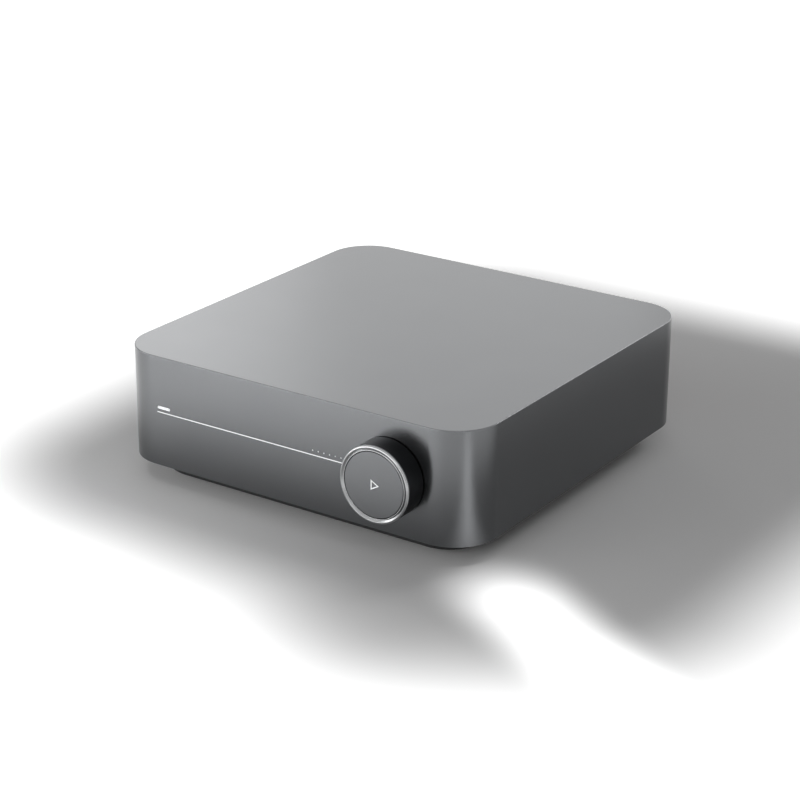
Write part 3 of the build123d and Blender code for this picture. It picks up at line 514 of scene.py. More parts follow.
print("a grip of", round(2 * grip_radius / mm, 1), "mm across with", flute_count, "flutes")

# %% [markdown]
# The mouth of each grip is lined with a thin gold ferrule, so its section is drawn in millimetres from the grip's
# end. The plus posts are red and the minus posts black, and each grip rides on its own moving body.

# %% Fit four grips and their ferrules
ferrule = turned("ferrule", profile([(2.05, -0.7), (2.38, -0.7), (2.38, -0.25), (2.2, -0.1), (2.05, -0.25),
                                     (2.05, -0.7)], grip_end), steps=48)
for name, (low, high) in post_boxes.items():
    place = ((low.x + high.x) / 2, 0, (low.z + high.z) / 2)
    colour_slot = "red_moulding" if name.endswith("plus") else "black_moulding"
    fitted(copied(grip, "post_grip_" + name, place), "cap_" + name, colour_slot, "post_cap_" + name)
    fitted(copied(ferrule, "post_ferrule_" + name, place), "cap_" + name, "gold_plate")
scrap(grip, ferrule)

# %% [markdown]
# ## The phono jacks
# A phono jack is a plated sleeve around a plated tube, with a coloured insulator between them and a coloured
# ring behind. All are turned parts. The sleeve's mouth is rolled over, so that a plug slides on.

# %% Turn the jacks
ring_slots = {"line_in_white_insulator": "white_moulding", "line_in_red_insulator": "red_moulding",
              "sub_out_insulator": "black_moulding"}
places = {}
for name in ring_slots:
    low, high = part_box(name)
    places[name] = ((low.x + high.x) / 2, 0, (low.z + high.z) / 2)
sleeves_low, sleeves_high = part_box("rca_sleeves")
jack_root, jack_end = sleeves_low.y, sleeves_high.y
ring_back, ring_front = 92.5 * mm, 93.5 * mm


def turned_ring(name, foot, *rest, steps=64):
    """Spin a closed section. Its foot is the flat start, and the rest follows from there."""
    return turned(name, foot + sum(rest, []) + foot[:1], steps=steps)


collar = profile([(3.95, 0), (4.7, 0), (4.7, 0.5), (4.5, 0.7), (4.15, 0.7)], ring_front)
rolled_mouth = profile([(4.15, -0.35), (4.0, -0.08), (3.85, 0), (3.7, -0.08), (3.6, -0.35)], jack_end)
sleeve = turned_ring("sleeve", profile([(3.6, 0), (3.95, 0)], jack_root), collar, rolled_mouth)
contact_mouth = profile([(2.15, -1.6), (2.0, -1.3), (1.8, -1.3), (1.6, -1.7)], jack_end)
contact = turned_ring("contact", profile([(1.6, 0), (2.15, 0)], jack_root), contact_mouth, steps=48)
core_end = profile([(3.55, -1.1), (3.3, -0.8), (2.5, -0.8), (2.2, -1.1)], jack_end)
core = turned_ring("core", profile([(2.2, 0), (3.55, 0)], jack_root), core_end)
ring_face = profile([(5.2, -0.3), (4.9, 0), (4.0, 0)], ring_front)
colour_ring = turned_ring("colour_ring", profile([(4.0, 0), (5.2, 0)], ring_back), ring_face)
print("jacks stand", round((jack_end - ring_front) / mm, 1), "mm proud of their rings")

# %% [markdown]
# Three jacks of the same parts stand on the panel. Their colours tell them apart: white and red for the two
# channels of the line input, and black for the output to a subwoofer.

# %% Fit the jacks
fitted(joined("phono_sleeves", [copied(sleeve, "sleeve", place) for place in places.values()]),
       "chassis", "gold_plate", "rca_sleeves")
fitted(joined("phono_contacts", [copied(contact, "contact", place) for place in places.values()]),
       "chassis", "gold_plate", "rca_contacts")
for name, place in places.items():
    parts = [copied(core, "core", place), copied(colour_ring, "ring", place)]
    fitted(joined("phono_" + name, parts), "chassis", ring_slots[name], name)
scrap(sleeve, contact, core, colour_ring)

# %% [markdown]
# ## The sockets
# Inside the screen socket and the memory socket a plastic tongue carries plated contacts. Each contact starts as a
# thin block with bevelled edges, and a row is made by copying it.

# %% Lay the contacts
strip_thickness, strip_edge, nose_gap = 0.08 * mm, 0.03 * mm, 0.4 * mm


def contact_row(name, tongue, count, pitch, width, length, under):
    """Flat contacts in a row on one face of a tongue."""
    low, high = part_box(tongue)
    z, side = (low.z, -1) if under else (high.z, 1)
    z_near, z_far = sorted((z, z + side * strip_thickness))
    strip = block("strip", (-width / 2, high.y - nose_gap - length, z_near), (width / 2, high.y - nose_gap, z_far))
    soften(strip, strip_edge, 1)
    middle = (low.x + high.x) / 2
    strips = [copied(strip, "strip", (middle + pitch * (n - (count - 1) / 2), 0, 0)) for n in range(count)]
    scrap(strip)
    return joined(name, strips)


screen_contacts = [
    contact_row("row", "hdmi_tongue", count, pitch=1.0 * mm, width=0.45 * mm, length=4 * mm, under=under)
    for count, under in ((10, True), (9, False))]
fitted(joined("screen_socket_contacts", screen_contacts), "chassis", "gold_plate")
memory_contacts = contact_row("memory_socket_contacts", "usb_tongue", 4, pitch=2.3 * mm, width=1.1 * mm,
                              length=6 * mm, under=True)
fitted(memory_contacts, "chassis", "gold_plate")

# %% [markdown]
# Springs stand in the metal mouths and grip the plug. A spring is a thin strip whose middle is pushed in, so the
# block is subdivided first, and then the points near its middle are moved.

# %% Bend the springs
spring_wall, spring_thickness, spring_bend, spring_back = 0.4 * mm, 0.12 * mm, 0.3 * mm, 1 * mm


def spring_pair(shell_node, spread, width, length):
    """Four springs, two on the roof and two on the floor of a metal mouth, bent towards its middle."""
    low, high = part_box(shell_node)
    middle, end = (low.x + high.x) / 2, high.y - spring_back
    middle_y = end - length / 2
    springs = []
    for z, bend in ((high.z - spring_wall, -1), (low.z + spring_wall, 1)):
        for side in (-1, 1):
            x = middle + side * spread
            z_near, z_far = sorted((z, z + bend * spring_thickness))
            spring = block("spring", (x - width / 2, end - length, z_near), (x + width / 2, end, z_far))
            with editing(spring, "EDGE"):
                bpy.ops.mesh.subdivide(number_cuts=3)
            with editing(spring, "VERT", lambda mesh, point: abs(point.co.y - middle_y) < length / 3):
                bpy.ops.transform.translate(value=(0, 0, bend * spring_bend))
            smooth(spring, angle=60, weighted=False)
            springs.append(spring)
    return springs


springs = spring_pair("hdmi_shell", spread=3.2 * mm, width=1.6 * mm, length=4 * mm)
springs += spring_pair("usb_shell", spread=3.4 * mm, width=2.0 * mm, length=5 * mm)
fitted(joined("socket_springs", springs), "chassis", "bright_steel")

# %% [markdown]
# Two small lamps show through the face of the network socket, one in each lower corner. They are clear moulded
# windows, so a block with soft edges is enough.

# %% Fit the lamps of the network socket
socket_low, socket_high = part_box("ethernet_housing")
lamp_spread, lamp_half = 5.6 * mm, 1.6 * mm
lamp_sill, lamp_head, lamp_depth, lamp_proud, lamp_edge = 0.9 * mm, 2.7 * mm, 1 * mm, 0.15 * mm, 0.2 * mm
socket_lamps = []
for side in (-1, 1):
    lamp_x = (socket_low.x + socket_high.x) / 2 + side * lamp_spread
    window = block("lamp", (lamp_x - lamp_half, socket_high.y - lamp_depth, socket_low.z + lamp_sill),
                   (lamp_x + lamp_half, socket_high.y + lamp_proud, socket_low.z + lamp_head))
    soften(window, lamp_edge, 3)
    smooth(window)
    socket_lamps.append(window)
fitted(joined("network_socket_lamps", socket_lamps), "chassis", "white_moulding")

# %% [markdown]
# ## The mains inlet
# The inlet is a moulded block with a flange and a mouth in the shape of an eight. The mouth is cut with two round
# cutters and a bar between them, and a small bevel then rounds every edge, as the mould would.

# %% Cut the mains inlet
inlet_low, inlet_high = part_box("inlet_housing")
inlet_x, inlet_z = (inlet_low.x + inlet_high.x) / 2, (inlet_low.z + inlet_high.z) / 2
pin_low, pin_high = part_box("inlet_pins")
pin_radius = (pin_high.z - pin_low.z) / 2
pin_reach = (pin_high.x - pin_low.x) / 2 - pin_radius
flange_radius, barrel_width, barrel_height, overlap = 1.2 * mm, 20 * mm, 11.5 * mm, 0.2 * mm
inlet = rounded_cutter((inlet_low.x, ring_back, inlet_low.z), inlet_high, flange_radius, steps=6)
barrel = block("barrel", (inlet_x - barrel_width / 2, inlet_low.y, inlet_z - barrel_height / 2),
               (inlet_x + barrel_width / 2, ring_back + overlap, inlet_z + barrel_height / 2))
combine(inlet, barrel, "UNION")
mouth_depth, bore_radius, waist_half = 13.5 * mm, 4.6 * mm, 3.4 * mm
mouth_floor, mouth_end = inlet_high.y - mouth_depth, inlet_high.y + past
cut(inlet, block("cutter", (inlet_x - pin_reach, mouth_floor, inlet_z - waist_half),
                 (inlet_x + pin_reach, mouth_end, inlet_z + waist_half)))
for side in (-1, 1):
    cut(inlet, round_cutter(bore_radius, inlet_x + side * pin_reach, inlet_z, mouth_floor, mouth_end, steps=48))
inlet_edge = 0.25 * mm
soften(inlet, inlet_edge, 3, angle=50)
smooth(inlet)
inlet.name = inlet.data.name = "mains_inlet"
fitted(inlet, "chassis", "black_moulding", "inlet_housing")

# %% [markdown]
# Two pins with round noses stand in the mouth. One is turned at the origin, with its foot a little inside the floor
# of the mouth, and copied to both sides.

# %% Turn the pins
pin_root = mouth_floor - overlap
pin = turned("pin", [(0, pin_root), (pin_radius, pin_root)] + back_quarter(0, pin_high.y - pin_radius, pin_radius),
             steps=32)
pins = [copied(pin, "pin", (inlet_x + side * pin_reach, 0, inlet_z)) for side in (-1, 1)]
scrap(pin)
fitted(joined("mains_pins", pins), "chassis", "bright_steel", "inlet_pins")

# %% [markdown]
# ## Screws and feet
# The screws have domed heads with a cross recess. A head's outline is drawn as shares of its radius and height, so
# one function turns both sizes. Two crossed bars then cut the recess.

# %% Turn a screw
head_outline = ((1, 0), (1, 0.45), (0.95, 0.66), (0.84, 0.82), (0.66, 0.92), (0.4, 0.98), (0, 1))
recess_reach, recess_half, recess_floor = 0.55, 0.1, 0.3


def screw(head_radius, head_height, shank_radius, shank_length):
    """A pan head screw at the origin that points along -Y, its head towards +Y."""
    head = [(head_radius * r, head_height * y) for r, y in head_outline]
    piece = turned("screw", [(0, -shank_length), (shank_radius, -shank_length), (shank_radius, 0)] + head, steps=48)
    arm, half = head_radius * recess_reach, head_radius * recess_half
    floor_y, top_y = head_height * recess_floor, head_height + past
    cut(piece, block("cutter", (-arm, floor_y, -half), (arm, top_y, half)))
    cut(piece, block("cutter", (-half, floor_y, -arm), (half, top_y, arm)))
    smooth(piece)
    return piece


panel_head, base_head = 2.0 * mm, 2.8 * mm
panel_screw = screw(panel_head, head_height=1.4 * mm, shank_radius=1.1 * mm, shank_length=7 * mm)
base_screw = screw(base_head, head_height=2.0 * mm, shank_radius=1.5 * mm, shank_length=7 * mm)
print("a screw has", len(base_screw.data.polygons), "faces")

# %% [markdown]
# Two screws hold the rear panel. Four larger ones hold the tray: they are tipped over to point up into the case,
# with their heads down in deep wells. Real screws stop at any angle, so those of the panel are turned a little.

# %% Put in the screws
panel_low, panel_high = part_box("panel_screws")
screw_x, screw_turns = (panel_low.x + panel_head, panel_high.x - panel_head), (0.5, 1.5)
screws = [copied(panel_screw, "screw", (x, ring_back, case_middle.z), (0, turn, 0))
          for x, turn in zip(screw_x, screw_turns)]
fitted(joined("rear_panel_screws", screws), "chassis", "black_steel", "panel_screws")
corners = [(x, y) for x in (-1, 1) for y in (-1, 1)]
base_reach, well_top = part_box("base_screws")[1].x - base_head, 10.3 * mm
head_down = (-math.pi / 2, 0, 0)
screws = [copied(base_screw, "screw", (x * base_reach, y * base_reach, well_top), head_down) for x, y in corners]
fitted(joined("tray_screws", screws), "chassis", "black_steel", "base_screws")
scrap(panel_screw, base_screw)

# %% [markdown]
# The feet are rubber discs with a groove around the sole, which keeps them from sticking to a shelf. A foot is
# turned like the screws, and tipped over so that its sole points down.

# %% Turn the feet
feet_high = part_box("rubber_feet")[1]
foot_radius, foot_edge, foot_height = 9.0 * mm, 0.6 * mm, feet_high.z
foot_reach = feet_high.x - foot_radius
sole = profile([(7.0, 0), (6.7, -0.5), (5.3, -0.5), (5.0, 0), (0, 0)], foot_height)
foot = turned("foot", [(0, 0), (foot_radius, 0)]
              + back_quarter(foot_radius - foot_edge, foot_height - foot_edge, foot_edge) + sole, steps=64)
feet = [copied(foot, "foot", (x * foot_reach, y * foot_reach, foot_height), head_down) for x, y in corners]
scrap(foot)
fitted(joined("grooved_feet", feet), "chassis", "black_rubber", "rubber_feet")

# %% [markdown]
# ## The base tray
# The tray closes the shell from below, and its plinth stands back from the walls, so that the case seems to float.
# The plinth and its flange are bevelled blocks, made one by a union and hollowed from above.

# %% Shape the tray
tray_low, tray_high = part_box("base_tray")
flange_bottom = 11.3 * mm
plinth_inset, plinth_corner, plinth_edge = 11.1 * mm, 17.4 * mm, 0.8 * mm
plinth_wall, tray_floor = 2.5 * mm, 4.8 * mm
plinth_half = case_high.x - plinth_inset
flange = block("flange", (tray_low.x, tray_low.y, flange_bottom), tray_high)
round_corners(flange, corner_radius - wall, 24)
tray = block("floor_tray", (-plinth_half, -plinth_half, tray_low.z), (plinth_half, plinth_half, flange_bottom + past))
round_corners(tray, plinth_corner, 32)
with editing(tray, "EDGE", lambda mesh, edge: all(end.z < tray_low.z + tiny for end in ends(mesh, edge))):
    bpy.ops.mesh.bevel(offset=plinth_edge, segments=4, affect="EDGES")
combine(tray, flange, "UNION")
hollow_half = plinth_half - plinth_wall
hollow = block("cutter", (-hollow_half, -hollow_half, tray_floor), (hollow_half, hollow_half, tray_high.z + past))
round_corners(hollow, plinth_corner - plinth_wall, 16)
cut(tray, hollow)
print("plinth", round(2 * plinth_half / mm, 1), "mm wide, with a floor of",
      round((tray_floor - tray_low.z) / mm, 1), "mm")

# %% [markdown]
# Cool air enters through a row of slots in the plinth. Each slot is a block whose upright edges are bevelled until
# its ends are round. All are joined into one cutter, so that a single Boolean cuts them.

# %% Cut the slots
vent_count, vent_pitch, vent_width, vent_length = 11, 6.0 * mm, 3.0 * mm, 46.0 * mm
vents = []
for n in range(vent_count):
    x = vent_pitch * (n - (vent_count - 1) / 2)
    vent = block("vent", (x - vent_width / 2, -vent_length / 2, tray_low.z - past),
                 (x + vent_width / 2, vent_length / 2, tray_floor + past))
    round_corners(vent, vent_width / 2 - tiny, 8)
    vents.append(vent)
cut(tray, joined("vents", vents))
print(vent_count, "slots of", round(vent_width / mm, 1), "by", round(vent_length / mm), "mm")

# %% [markdown]
# In each corner a tower carries the tray's screw, with a deep well for its head, and a shallow seat holds the foot.
# The towers are added first, and the wells and seats are then drilled through them from below.

# %% Add the towers, wells and seats
tower_radius, tower_sink, well_radius, foot_gap = 4.6 * mm, 0.5 * mm, 3.0 * mm, 0.06 * mm


def upright_rod(radius, x, y, low, high):
    """A rod along Z."""
    bpy.ops.object.select_all(action="DESELECT")
    bpy.ops.mesh.primitive_cylinder_add(vertices=48, radius=radius, depth=high - low,
                                        location=(x, y, (low + high) / 2))
    return settle(bpy.context.object, "rod")


for x, y in corners:
    screw_place, foot_place = (x * base_reach, y * base_reach), (x * foot_reach, y * foot_reach)
    combine(tray, upright_rod(tower_radius, *screw_place, tray_floor - tower_sink, tray_high.z), "UNION")
    cut(tray, upright_rod(well_radius, *screw_place, tray_low.z - past, well_top))
    cut(tray, upright_rod(foot_radius + foot_gap, *foot_place, tray_low.z - past, foot_height))
smooth(tray, angle=30)
fitted(tray, "chassis", "black_moulding", "base_tray")

# %% [markdown]
# ## Finishes
# A finish is a small network of nodes. Sums and products of values are written as plain Python: a class
# wraps a socket, and each operator adds the Math node that does it.

# %% Write values as expressions


class Signal:
    """A value in a node network. Operators on signals add Math nodes."""

    def __init__(self, network, socket):
        self.network, self.socket = network, socket

    def math(self, operation, *values):
        return self.network.node("ShaderNodeMath", {"operation": operation}, dict(enumerate(values)))

    def __add__(self, other):
        return self.math("ADD", self, other)

    def __radd__(self, other):
        return self.math("ADD", other, self)

    def __sub__(self, other):
        return self.math("SUBTRACT", self, other)

    def __rsub__(self, other):
        return self.math("SUBTRACT", other, self)

    def __mul__(self, other):
        return self.math("MULTIPLY", self, other)

    def __rmul__(self, other):
        return self.math("MULTIPLY", other, self)

    def __gt__(self, other):
        return self.math("GREATER_THAN", self, other)


print("signals can be added, subtracted, multiplied and compared")

# %% [markdown]
# Any other node comes from one method. Patterns read Object coordinates, in metres, so a noise of scale 1000 has
# grains of about a millimetre, whatever the size of the piece.

# %% Add nodes and finishes


class Network:
    """A tree of shader nodes, and the method that adds to it."""

    def __init__(self, tree):
        self.tree = tree

    def connect(self, socket, value):
        if isinstance(value, Signal):
            self.tree.links.new(value.socket, socket)
        elif hasattr(socket.default_value, "__len__") and len(value) < len(socket.default_value):
            socket.default_value = (*value, 1)
        else:
            socket.default_value = value

    def node(self, kind, settings=None, sockets=None, output=0):
        """Add a node: its settings first, then the values or links of its sockets."""
        node = self.tree.nodes.new(kind)
        for key, value in (settings or {}).items():
            setattr(node, key, value)
        for socket, value in (sockets or {}).items():
            self.connect(node.inputs[socket], value)
        return Signal(self, node.outputs[output])

    def place(self):
        return self.node("ShaderNodeTexCoord", output="Object")

    def noise(self, scale, detail=2.0, stretch=(1, 1, 1)):
        place = self.node("ShaderNodeVectorMath", {"operation": "MULTIPLY"}, {0: self.place(), 1: stretch})
        return self.node("ShaderNodeTexNoise", None, {"Vector": place, "Scale": scale, "Detail": detail},
                         output="Fac")

    def reach(self, centre, axes):
        """The distance from a point, along some of the axes."""
        offset = self.node("ShaderNodeVectorMath", {"operation": "SUBTRACT"}, {0: self.place(), 1: centre})
        kept = self.node("ShaderNodeVectorMath", {"operation": "MULTIPLY"}, {0: offset, 1: axes})
        return self.node("ShaderNodeVectorMath", {"operation": "LENGTH"}, {0: kept}, output="Value")

    def blend(self, share, first, second):
        """Mix two colours. A Mix node keeps a set of sockets for each kind of data, and these are the colour's."""
        factor, colour_a, colour_b, result = 0, 6, 7, 2
        return self.node("ShaderNodeMix", {"data_type": "RGBA"}, {factor: share, colour_a: first, colour_b: second},
                         output=result)


class Finish(Network):
    """A material with one main shader."""

    def __init__(self, name, **settings):
        self.material = bpy.data.materials.new(name)
        self.material.use_nodes = True
        super().__init__(self.material.node_tree)
        self.shader = next(node for node in self.tree.nodes if node.type == "BSDF_PRINCIPLED")
        for socket, value in settings.items():
            self.set(socket.replace("_", " ").title(), value)

    def set(self, socket, value):
        self.connect(self.shader.inputs[socket], value)

    def grain(self, height, depth):
        """A relief of a real depth, in metres."""
        self.set("Normal", self.node("ShaderNodeBump", None, {"Height": height, "Distance": depth}))


def shade(colour, factor):
    return tuple(channel * factor for channel in colour)


def wear(piece, *materials):
    """Give a piece its materials. Its faces keep their numbers."""
    numbers = [face.material_index for face in piece.data.polygons]
    piece.data.materials.clear()
    for material in materials:
        piece.data.materials.append(material)
    for face, number in zip(piece.data.polygons, numbers):
        face.material_index = min(number, len(materials) - 1)


print(len(pieces), "new pieces wait for a finish")

# %% [markdown]
# Three recipes cover most of the object: blasted and anodised metal with fine beads, moulded plastic with the grit
# of its mould, and plated metal with drawing lines. In each a slow noise clouds the colour a little, and a fast
# one varies the roughness and gives a very shallow relief. So they share one function and differ in its numbers.

# %% Write the recipes


def grained(finish, colour, roughness, cloud, grain, tints, scatter, depth):
    """Let one noise cloud the colour, and another vary the roughness and raise a shallow relief."""
    darker, lighter = (shade(colour, tint) for tint in tints)
    finish.set("Base Color", finish.blend(cloud, darker, lighter))
    finish.set("Roughness", roughness + (grain - 0.5) * scatter)
    finish.grain(grain, depth)
    return finish.material


def satin_metal(name, colour, roughness):
    """Bead-blasted and anodised aluminium: an even, very fine grain."""
    finish = Finish(name, metallic=1.0)
    return grained(finish, colour, roughness, cloud=finish.noise(30), grain=finish.noise(5000, detail=1.0),
                   tints=(0.96, 1.04), scatter=0.08, depth=0.004 * mm)


def moulded(name, colour, roughness=0.42, depth=0.006 * mm):
    """Moulded plastic with the fine grain that the mould has."""
    finish = Finish(name)
    return grained(finish, colour, roughness, cloud=finish.noise(45), grain=finish.noise(2600),
                   tints=(0.88, 1.12), scatter=0.2, depth=depth)


def plated(name, colour, roughness):
    """Plated metal: bright, with faint drawing lines along the part."""
    finish = Finish(name, metallic=1.0)
    return grained(finish, colour, roughness, cloud=finish.noise(120), grain=finish.noise(3000, stretch=(1, 0.04, 1)),
                   tints=(0.9, 1.06), scatter=0.18, depth=0.002 * mm)


print("recipes:", ", ".join(recipe.__name__ for recipe in (satin_metal, moulded, plated)))

# %% [markdown]
# The case is a dark space grey. The knob's lip was cut with a sharp tool on a lathe, which leaves fine rings: a
# sine of the distance from the knob's axis. The other metals are steel, gold plate and the zinc of cans.

# %% Mix the metals
space_grey = (0.145, 0.149, 0.154)
bright_cut = Finish("bright_cut_aluminium", metallic=1.0)
tool_pitch, tool_depth = 0.11 * mm, 0.001 * mm
tool_marks = bright_cut.reach((knob_x, 0, knob_z), (1, 0, 1)) * (2 * math.pi / tool_pitch)
tool_wave = tool_marks.math("SINE", tool_marks)
bright_cut.set("Base Color", bright_cut.blend(bright_cut.noise(200), (0.3, 0.305, 0.31), (0.37, 0.375, 0.38)))
bright_cut.set("Roughness", 0.2 + tool_wave * 0.03)
bright_cut.grain(tool_wave, tool_depth)
finishes = {
    "space_grey_aluminium": satin_metal("space_grey_aluminium", space_grey, 0.24),
    "bright_cut_aluminium": bright_cut.material,
    "black_steel": plated("black_steel", (0.035, 0.036, 0.038), 0.38),
    "bright_steel": plated("bright_steel", (0.56, 0.55, 0.53), 0.26),
    "gold_plate": plated("gold_plate", (0.83, 0.58, 0.22), 0.2),
    "zinc_can": plated("zinc_can", (0.42, 0.43, 0.44), 0.4),
}
# A near-black copy of the case's metal: painted shade for the knob's skirt, its groove and the lip's outer edge.
painted_shade_metal = satin_metal("painted_shade_aluminium", (0.022, 0.023, 0.025), 0.34)
print(len(finishes) + 1, "metals")

# %% [markdown]
# The plastics differ in colour and gloss, and rubber and ferrite have a deeper grain. The lamps glow faintly. The
# white lines on the front are print and no lamps, so their faint glow is painted light. Both glow because in the
# photograph they are brighter than the metal about them.

# %% Mix the plastics, the rubber and the lights
finishes.update({
    "black_moulding": moulded("black_moulding", (0.012, 0.012, 0.013)),
    "red_moulding": moulded("red_moulding", (0.42, 0.012, 0.014), 0.36),
    "white_moulding": moulded("white_moulding", (0.74, 0.73, 0.7), 0.38),
    "black_rubber": moulded("black_rubber", (0.022, 0.021, 0.02), 0.72, depth=0.02 * mm),
    "black_sleeve": moulded("black_sleeve", (0.015, 0.015, 0.02), 0.28, depth=0.001 * mm),
    "ferrite": moulded("ferrite", (0.045, 0.043, 0.042), 0.6, depth=0.02 * mm),
})
# lit_white is the lamps' own glow; light_print is print, and its glow is painted light.
for slot, strength in (("lit_white", 0.4), ("light_print", 0.32)):
    lit = Finish(slot, roughness=0.3, base_color=(0.8, 0.8, 0.8), emission_strength=strength)
    lit.set("Emission Color", lit.blend(lit.noise(300), (0.85, 0.9, 0.95), (1, 1, 1)))
    finishes[slot] = lit.material
print(len(finishes), "finishes so far")

# %% [markdown]
# Wound, striped and printed things inside the case are seen only through the vents, but they get their own look: a
# wave gives the turns of the copper wire and the wires of the flat cable, with painted shade in the dark bands
# between them, and the edges of random cells give the tracks of a circuit board.

# %% Mix the finishes of the parts inside
copper = Finish("copper_winding", metallic=1.0, roughness=0.3)
turns = copper.node("ShaderNodeTexWave", {"wave_type": "BANDS", "bands_direction": "Z"},
                    {"Vector": copper.place(), "Scale": 400.0, "Distortion": 1.0}, output="Fac")
# Painted shade: the dark bands between the turns.
copper.set("Base Color", copper.blend(turns, (0.16, 0.05, 0.02), (0.72, 0.3, 0.13)))
copper.grain(turns, 0.15 * mm)
finishes["copper_winding"] = copper.material
ribbon = Finish("flat_cable", roughness=0.4)
wires = ribbon.node("ShaderNodeTexWave", {"wave_type": "BANDS", "bands_direction": "X"},
                    {"Vector": ribbon.place(), "Scale": 260.0}, output="Fac")
# Painted shade: the darker grey bands between the wires.
ribbon.set("Base Color", ribbon.blend(wires, (0.22, 0.22, 0.23), (0.5, 0.5, 0.5)))
ribbon.grain(wires, 0.2 * mm)
finishes["flat_cable"] = ribbon.material
board = Finish("green_board", roughness=0.35)
tracks = board.node("ShaderNodeTexVoronoi", {"feature": "DISTANCE_TO_EDGE"},
                    {"Vector": board.place(), "Scale": 350.0}, output="Distance") > 0.08
board.set("Base Color", board.blend(tracks, (0.03, 0.16, 0.07), (0.006, 0.05, 0.022)))
board.grain(tracks, -0.03 * mm)
finishes["green_board"] = board.material
print("inside:", ", ".join(list(finishes)[-3:]))

# %% [markdown]
# Every new piece and every measured node now gets the finish that its slot names. Two pieces differ: the knob's skirt
# gets the near-black metal of painted shade, and its lip has a bright material and that near-black one, which its
# faces were numbered for.

# %% Dress every piece
for piece in pieces:
    wear(piece, finishes[piece["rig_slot"]])
wear(skirt, painted_shade_metal)
wear(bezel, finishes["bright_cut_aluminium"], painted_shade_metal)
for part in frame["record"]["subparts"]:
    wear(frame["nodes"][part["node"]], finishes[part["material_slot"]])
print("dressed", len(pieces), "new pieces and", len(frame["nodes"]), "measured nodes")

# %% [markdown]
# ## The room
# The object stands on a plain pale floor in a white room. Rays from the camera and rays that metal mirrors see the
# room as white, while the light itself comes from a few soft lamps.

# %% Make the room white


def seen(network):
    """One for rays of the camera, of mirror images and of glass, and zero for the light that the room gives."""
    path = {name: network.node("ShaderNodeLightPath", output="Is " + name + " Ray")
            for name in ("Camera", "Glossy", "Transmission")}
    return path["Camera"] + path["Glossy"] + path["Transmission"] > 0.5


room = bpy.data.worlds.new("room")
bpy.context.scene.world = room
room.use_nodes = True
air = Network(room.node_tree)
background = room.node_tree.nodes["Background"]
room_light = 0.045
air.connect(background.inputs["Color"], air.blend(seen(air), (room_light,) * 3, (1, 1, 1)))
print("the room looks white and gives", room_light, "of white light")

# %% [markdown]
# The floor glows as white paper does in strong light, except about the object, where a soft painted shade lies in the
# glow. Its size follows from the photograph: the metal there mirrors a floor that is dark near the object and white
# farther off. The painted shade is the distance from a rectangle, and a second, round one joins it before the right
# corner.

# %% Lay the floor
floor_size = 12
bpy.ops.object.select_all(action="DESELECT")
bpy.ops.mesh.primitive_plane_add(size=floor_size)
floor = settle(bpy.context.object, "floor")
floor_glow, painted_shade_glow = 0.95, 0.02
painted_shade_middle, painted_shade_half = (24 * mm, 52 * mm, 0), (101 * mm, 121 * mm, 0)
painted_shade_start, painted_shade_end = 42 * mm, 132 * mm
painted_corner_shade, painted_corner_glow = (90 * mm, -150 * mm, 0), 0.35
painted_corner_start, painted_corner_end = 0, 80 * mm
paper = Finish("floor", base_color=(0.92, 0.92, 0.92), roughness=0.9, emission_strength=floor_glow)


def rise(distance, start, end, low):
    """A smooth rise from a low value to one, between two distances."""
    return paper.node("ShaderNodeMapRange", {"interpolation_type": "SMOOTHSTEP"},
                      {"Value": distance, "From Min": start, "From Max": end, "To Min": low}, output="Result")


outside = paper.place()
for operation, limit in (("SUBTRACT", painted_shade_middle), ("ABSOLUTE", (0, 0, 0)), ("SUBTRACT", painted_shade_half),
                         ("MAXIMUM", (0, 0, 0))):
    outside = paper.node("ShaderNodeVectorMath", {"operation": operation}, {0: outside, 1: limit})
clear = paper.node("ShaderNodeVectorMath", {"operation": "LENGTH"}, {0: outside}, output="Value")
# Painted shade: the glow falls to a small share near the rectangle and before the right corner.
glow = rise(clear, painted_shade_start, painted_shade_end, painted_shade_glow)
glow = glow * rise(paper.reach(painted_corner_shade, (1, 1, 0)), painted_corner_start, painted_corner_end, painted_corner_glow)
paper.set("Emission Color", glow * seen(paper))
wear(floor, paper.material)
print("the shade ends", round((painted_shade_half[0] + painted_shade_end) / mm), "mm from its middle")

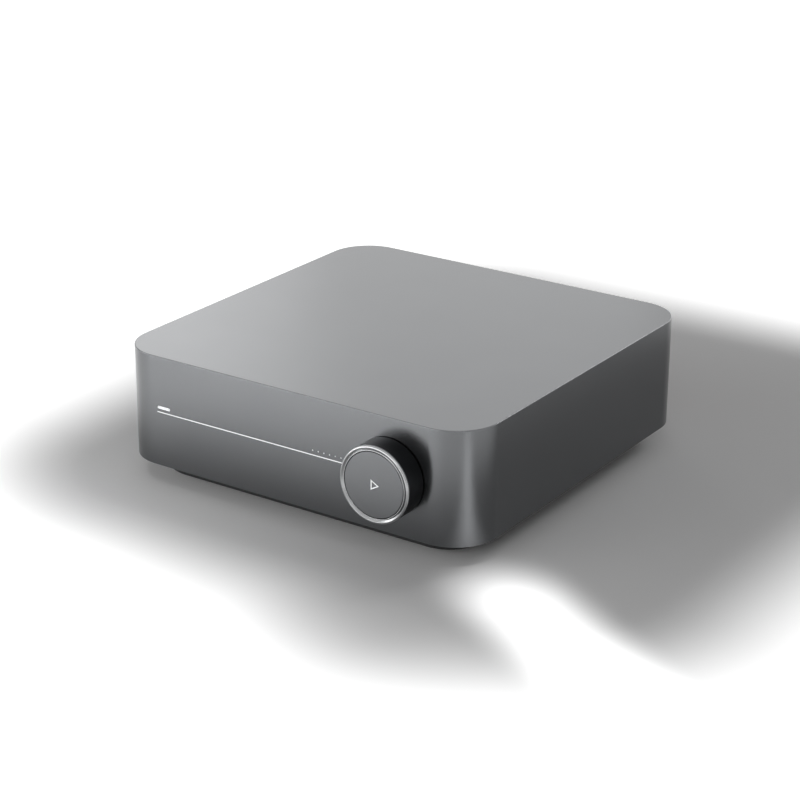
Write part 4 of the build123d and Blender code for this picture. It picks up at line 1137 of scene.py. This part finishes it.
# %% [markdown]
# Metal has no colour of its own: it shows what it mirrors. Seen from the camera, the roof mirrors the room behind
# it on the left, the front mirrors the floor before it, and the right side mirrors the floor at the back. So three
# lamps behind on the left give the roof its soft gradient, and one behind on the right draws the fine line on the
# rim. A wide, low one gives the front wall its sheen. Two small ones light only spots of the floor that the front
# and the right corner mirror, which gives the corner its bright band. The rest are weak and fill the other sides.

# %% Hang the lamps


def soft_lamp(name, azimuth, elevation, distance, width, height, power, target=(0, 0, 0.03), spread=180):
    """A rectangular lamp that faces the object. Azimuth 0 is in front and 90 is at the right."""
    a, e = math.radians(azimuth), math.radians(elevation)
    offset = Vector((math.sin(a) * math.cos(e), -math.cos(a) * math.cos(e), math.sin(e)))
    bpy.ops.object.light_add(type="AREA", location=Vector(target) + offset * distance)
    lamp = bpy.context.object
    lamp.name = name
    lamp.rotation_euler = offset.to_track_quat("Z", "Y").to_euler()
    lamp.data.shape = "RECTANGLE"
    lamp.data.size, lamp.data.size_y = width, height
    lamp.data.energy = power
    lamp.data.spread = math.radians(spread)


floor_front, floor_corner = (-0.14, -0.38, 0), (0.16, -0.124, 0)
lamps = {  # azimuth, elevation, distance, width, height, power, and for a spot of the floor its place and spread
    "back_lamp": (-140, 22, 1.5, 0.9, 0.6, 0.72),
    "back_left_lamp": (-135, 22, 1.5, 0.3, 0.6, 0.3),
    "back_far_left_lamp": (-131, 22, 1.5, 0.3, 0.6, 0.2),
    "front_left_lamp": (-36, 12, 1.2, 1.8, 0.5, 9),
    "left_lamp": (-96, 14, 1.3, 1.0, 0.6, 0.6),
    "high_front_lamp": (37, 40, 1.4, 0.7, 0.7, 1.3),
    "rim_lamp": (154, 31, 1.4, 0.4, 0.3, 1.7),
    "rear_lamp": (172, 20, 1.4, 1.2, 0.8, 2.8),
    "floor_lamp": (-40, 80, 1.0, 0.2, 0.2, 0.55, floor_front, 26),
    "corner_lamp": (60, 75, 0.5, 0.014, 0.12, 0.018, floor_corner, 7),
}
for name, settings in lamps.items():
    soft_lamp(name, *settings)
bpy.context.scene.view_settings.view_transform = "Standard"
print(len(bpy.data.lights), "lamps")
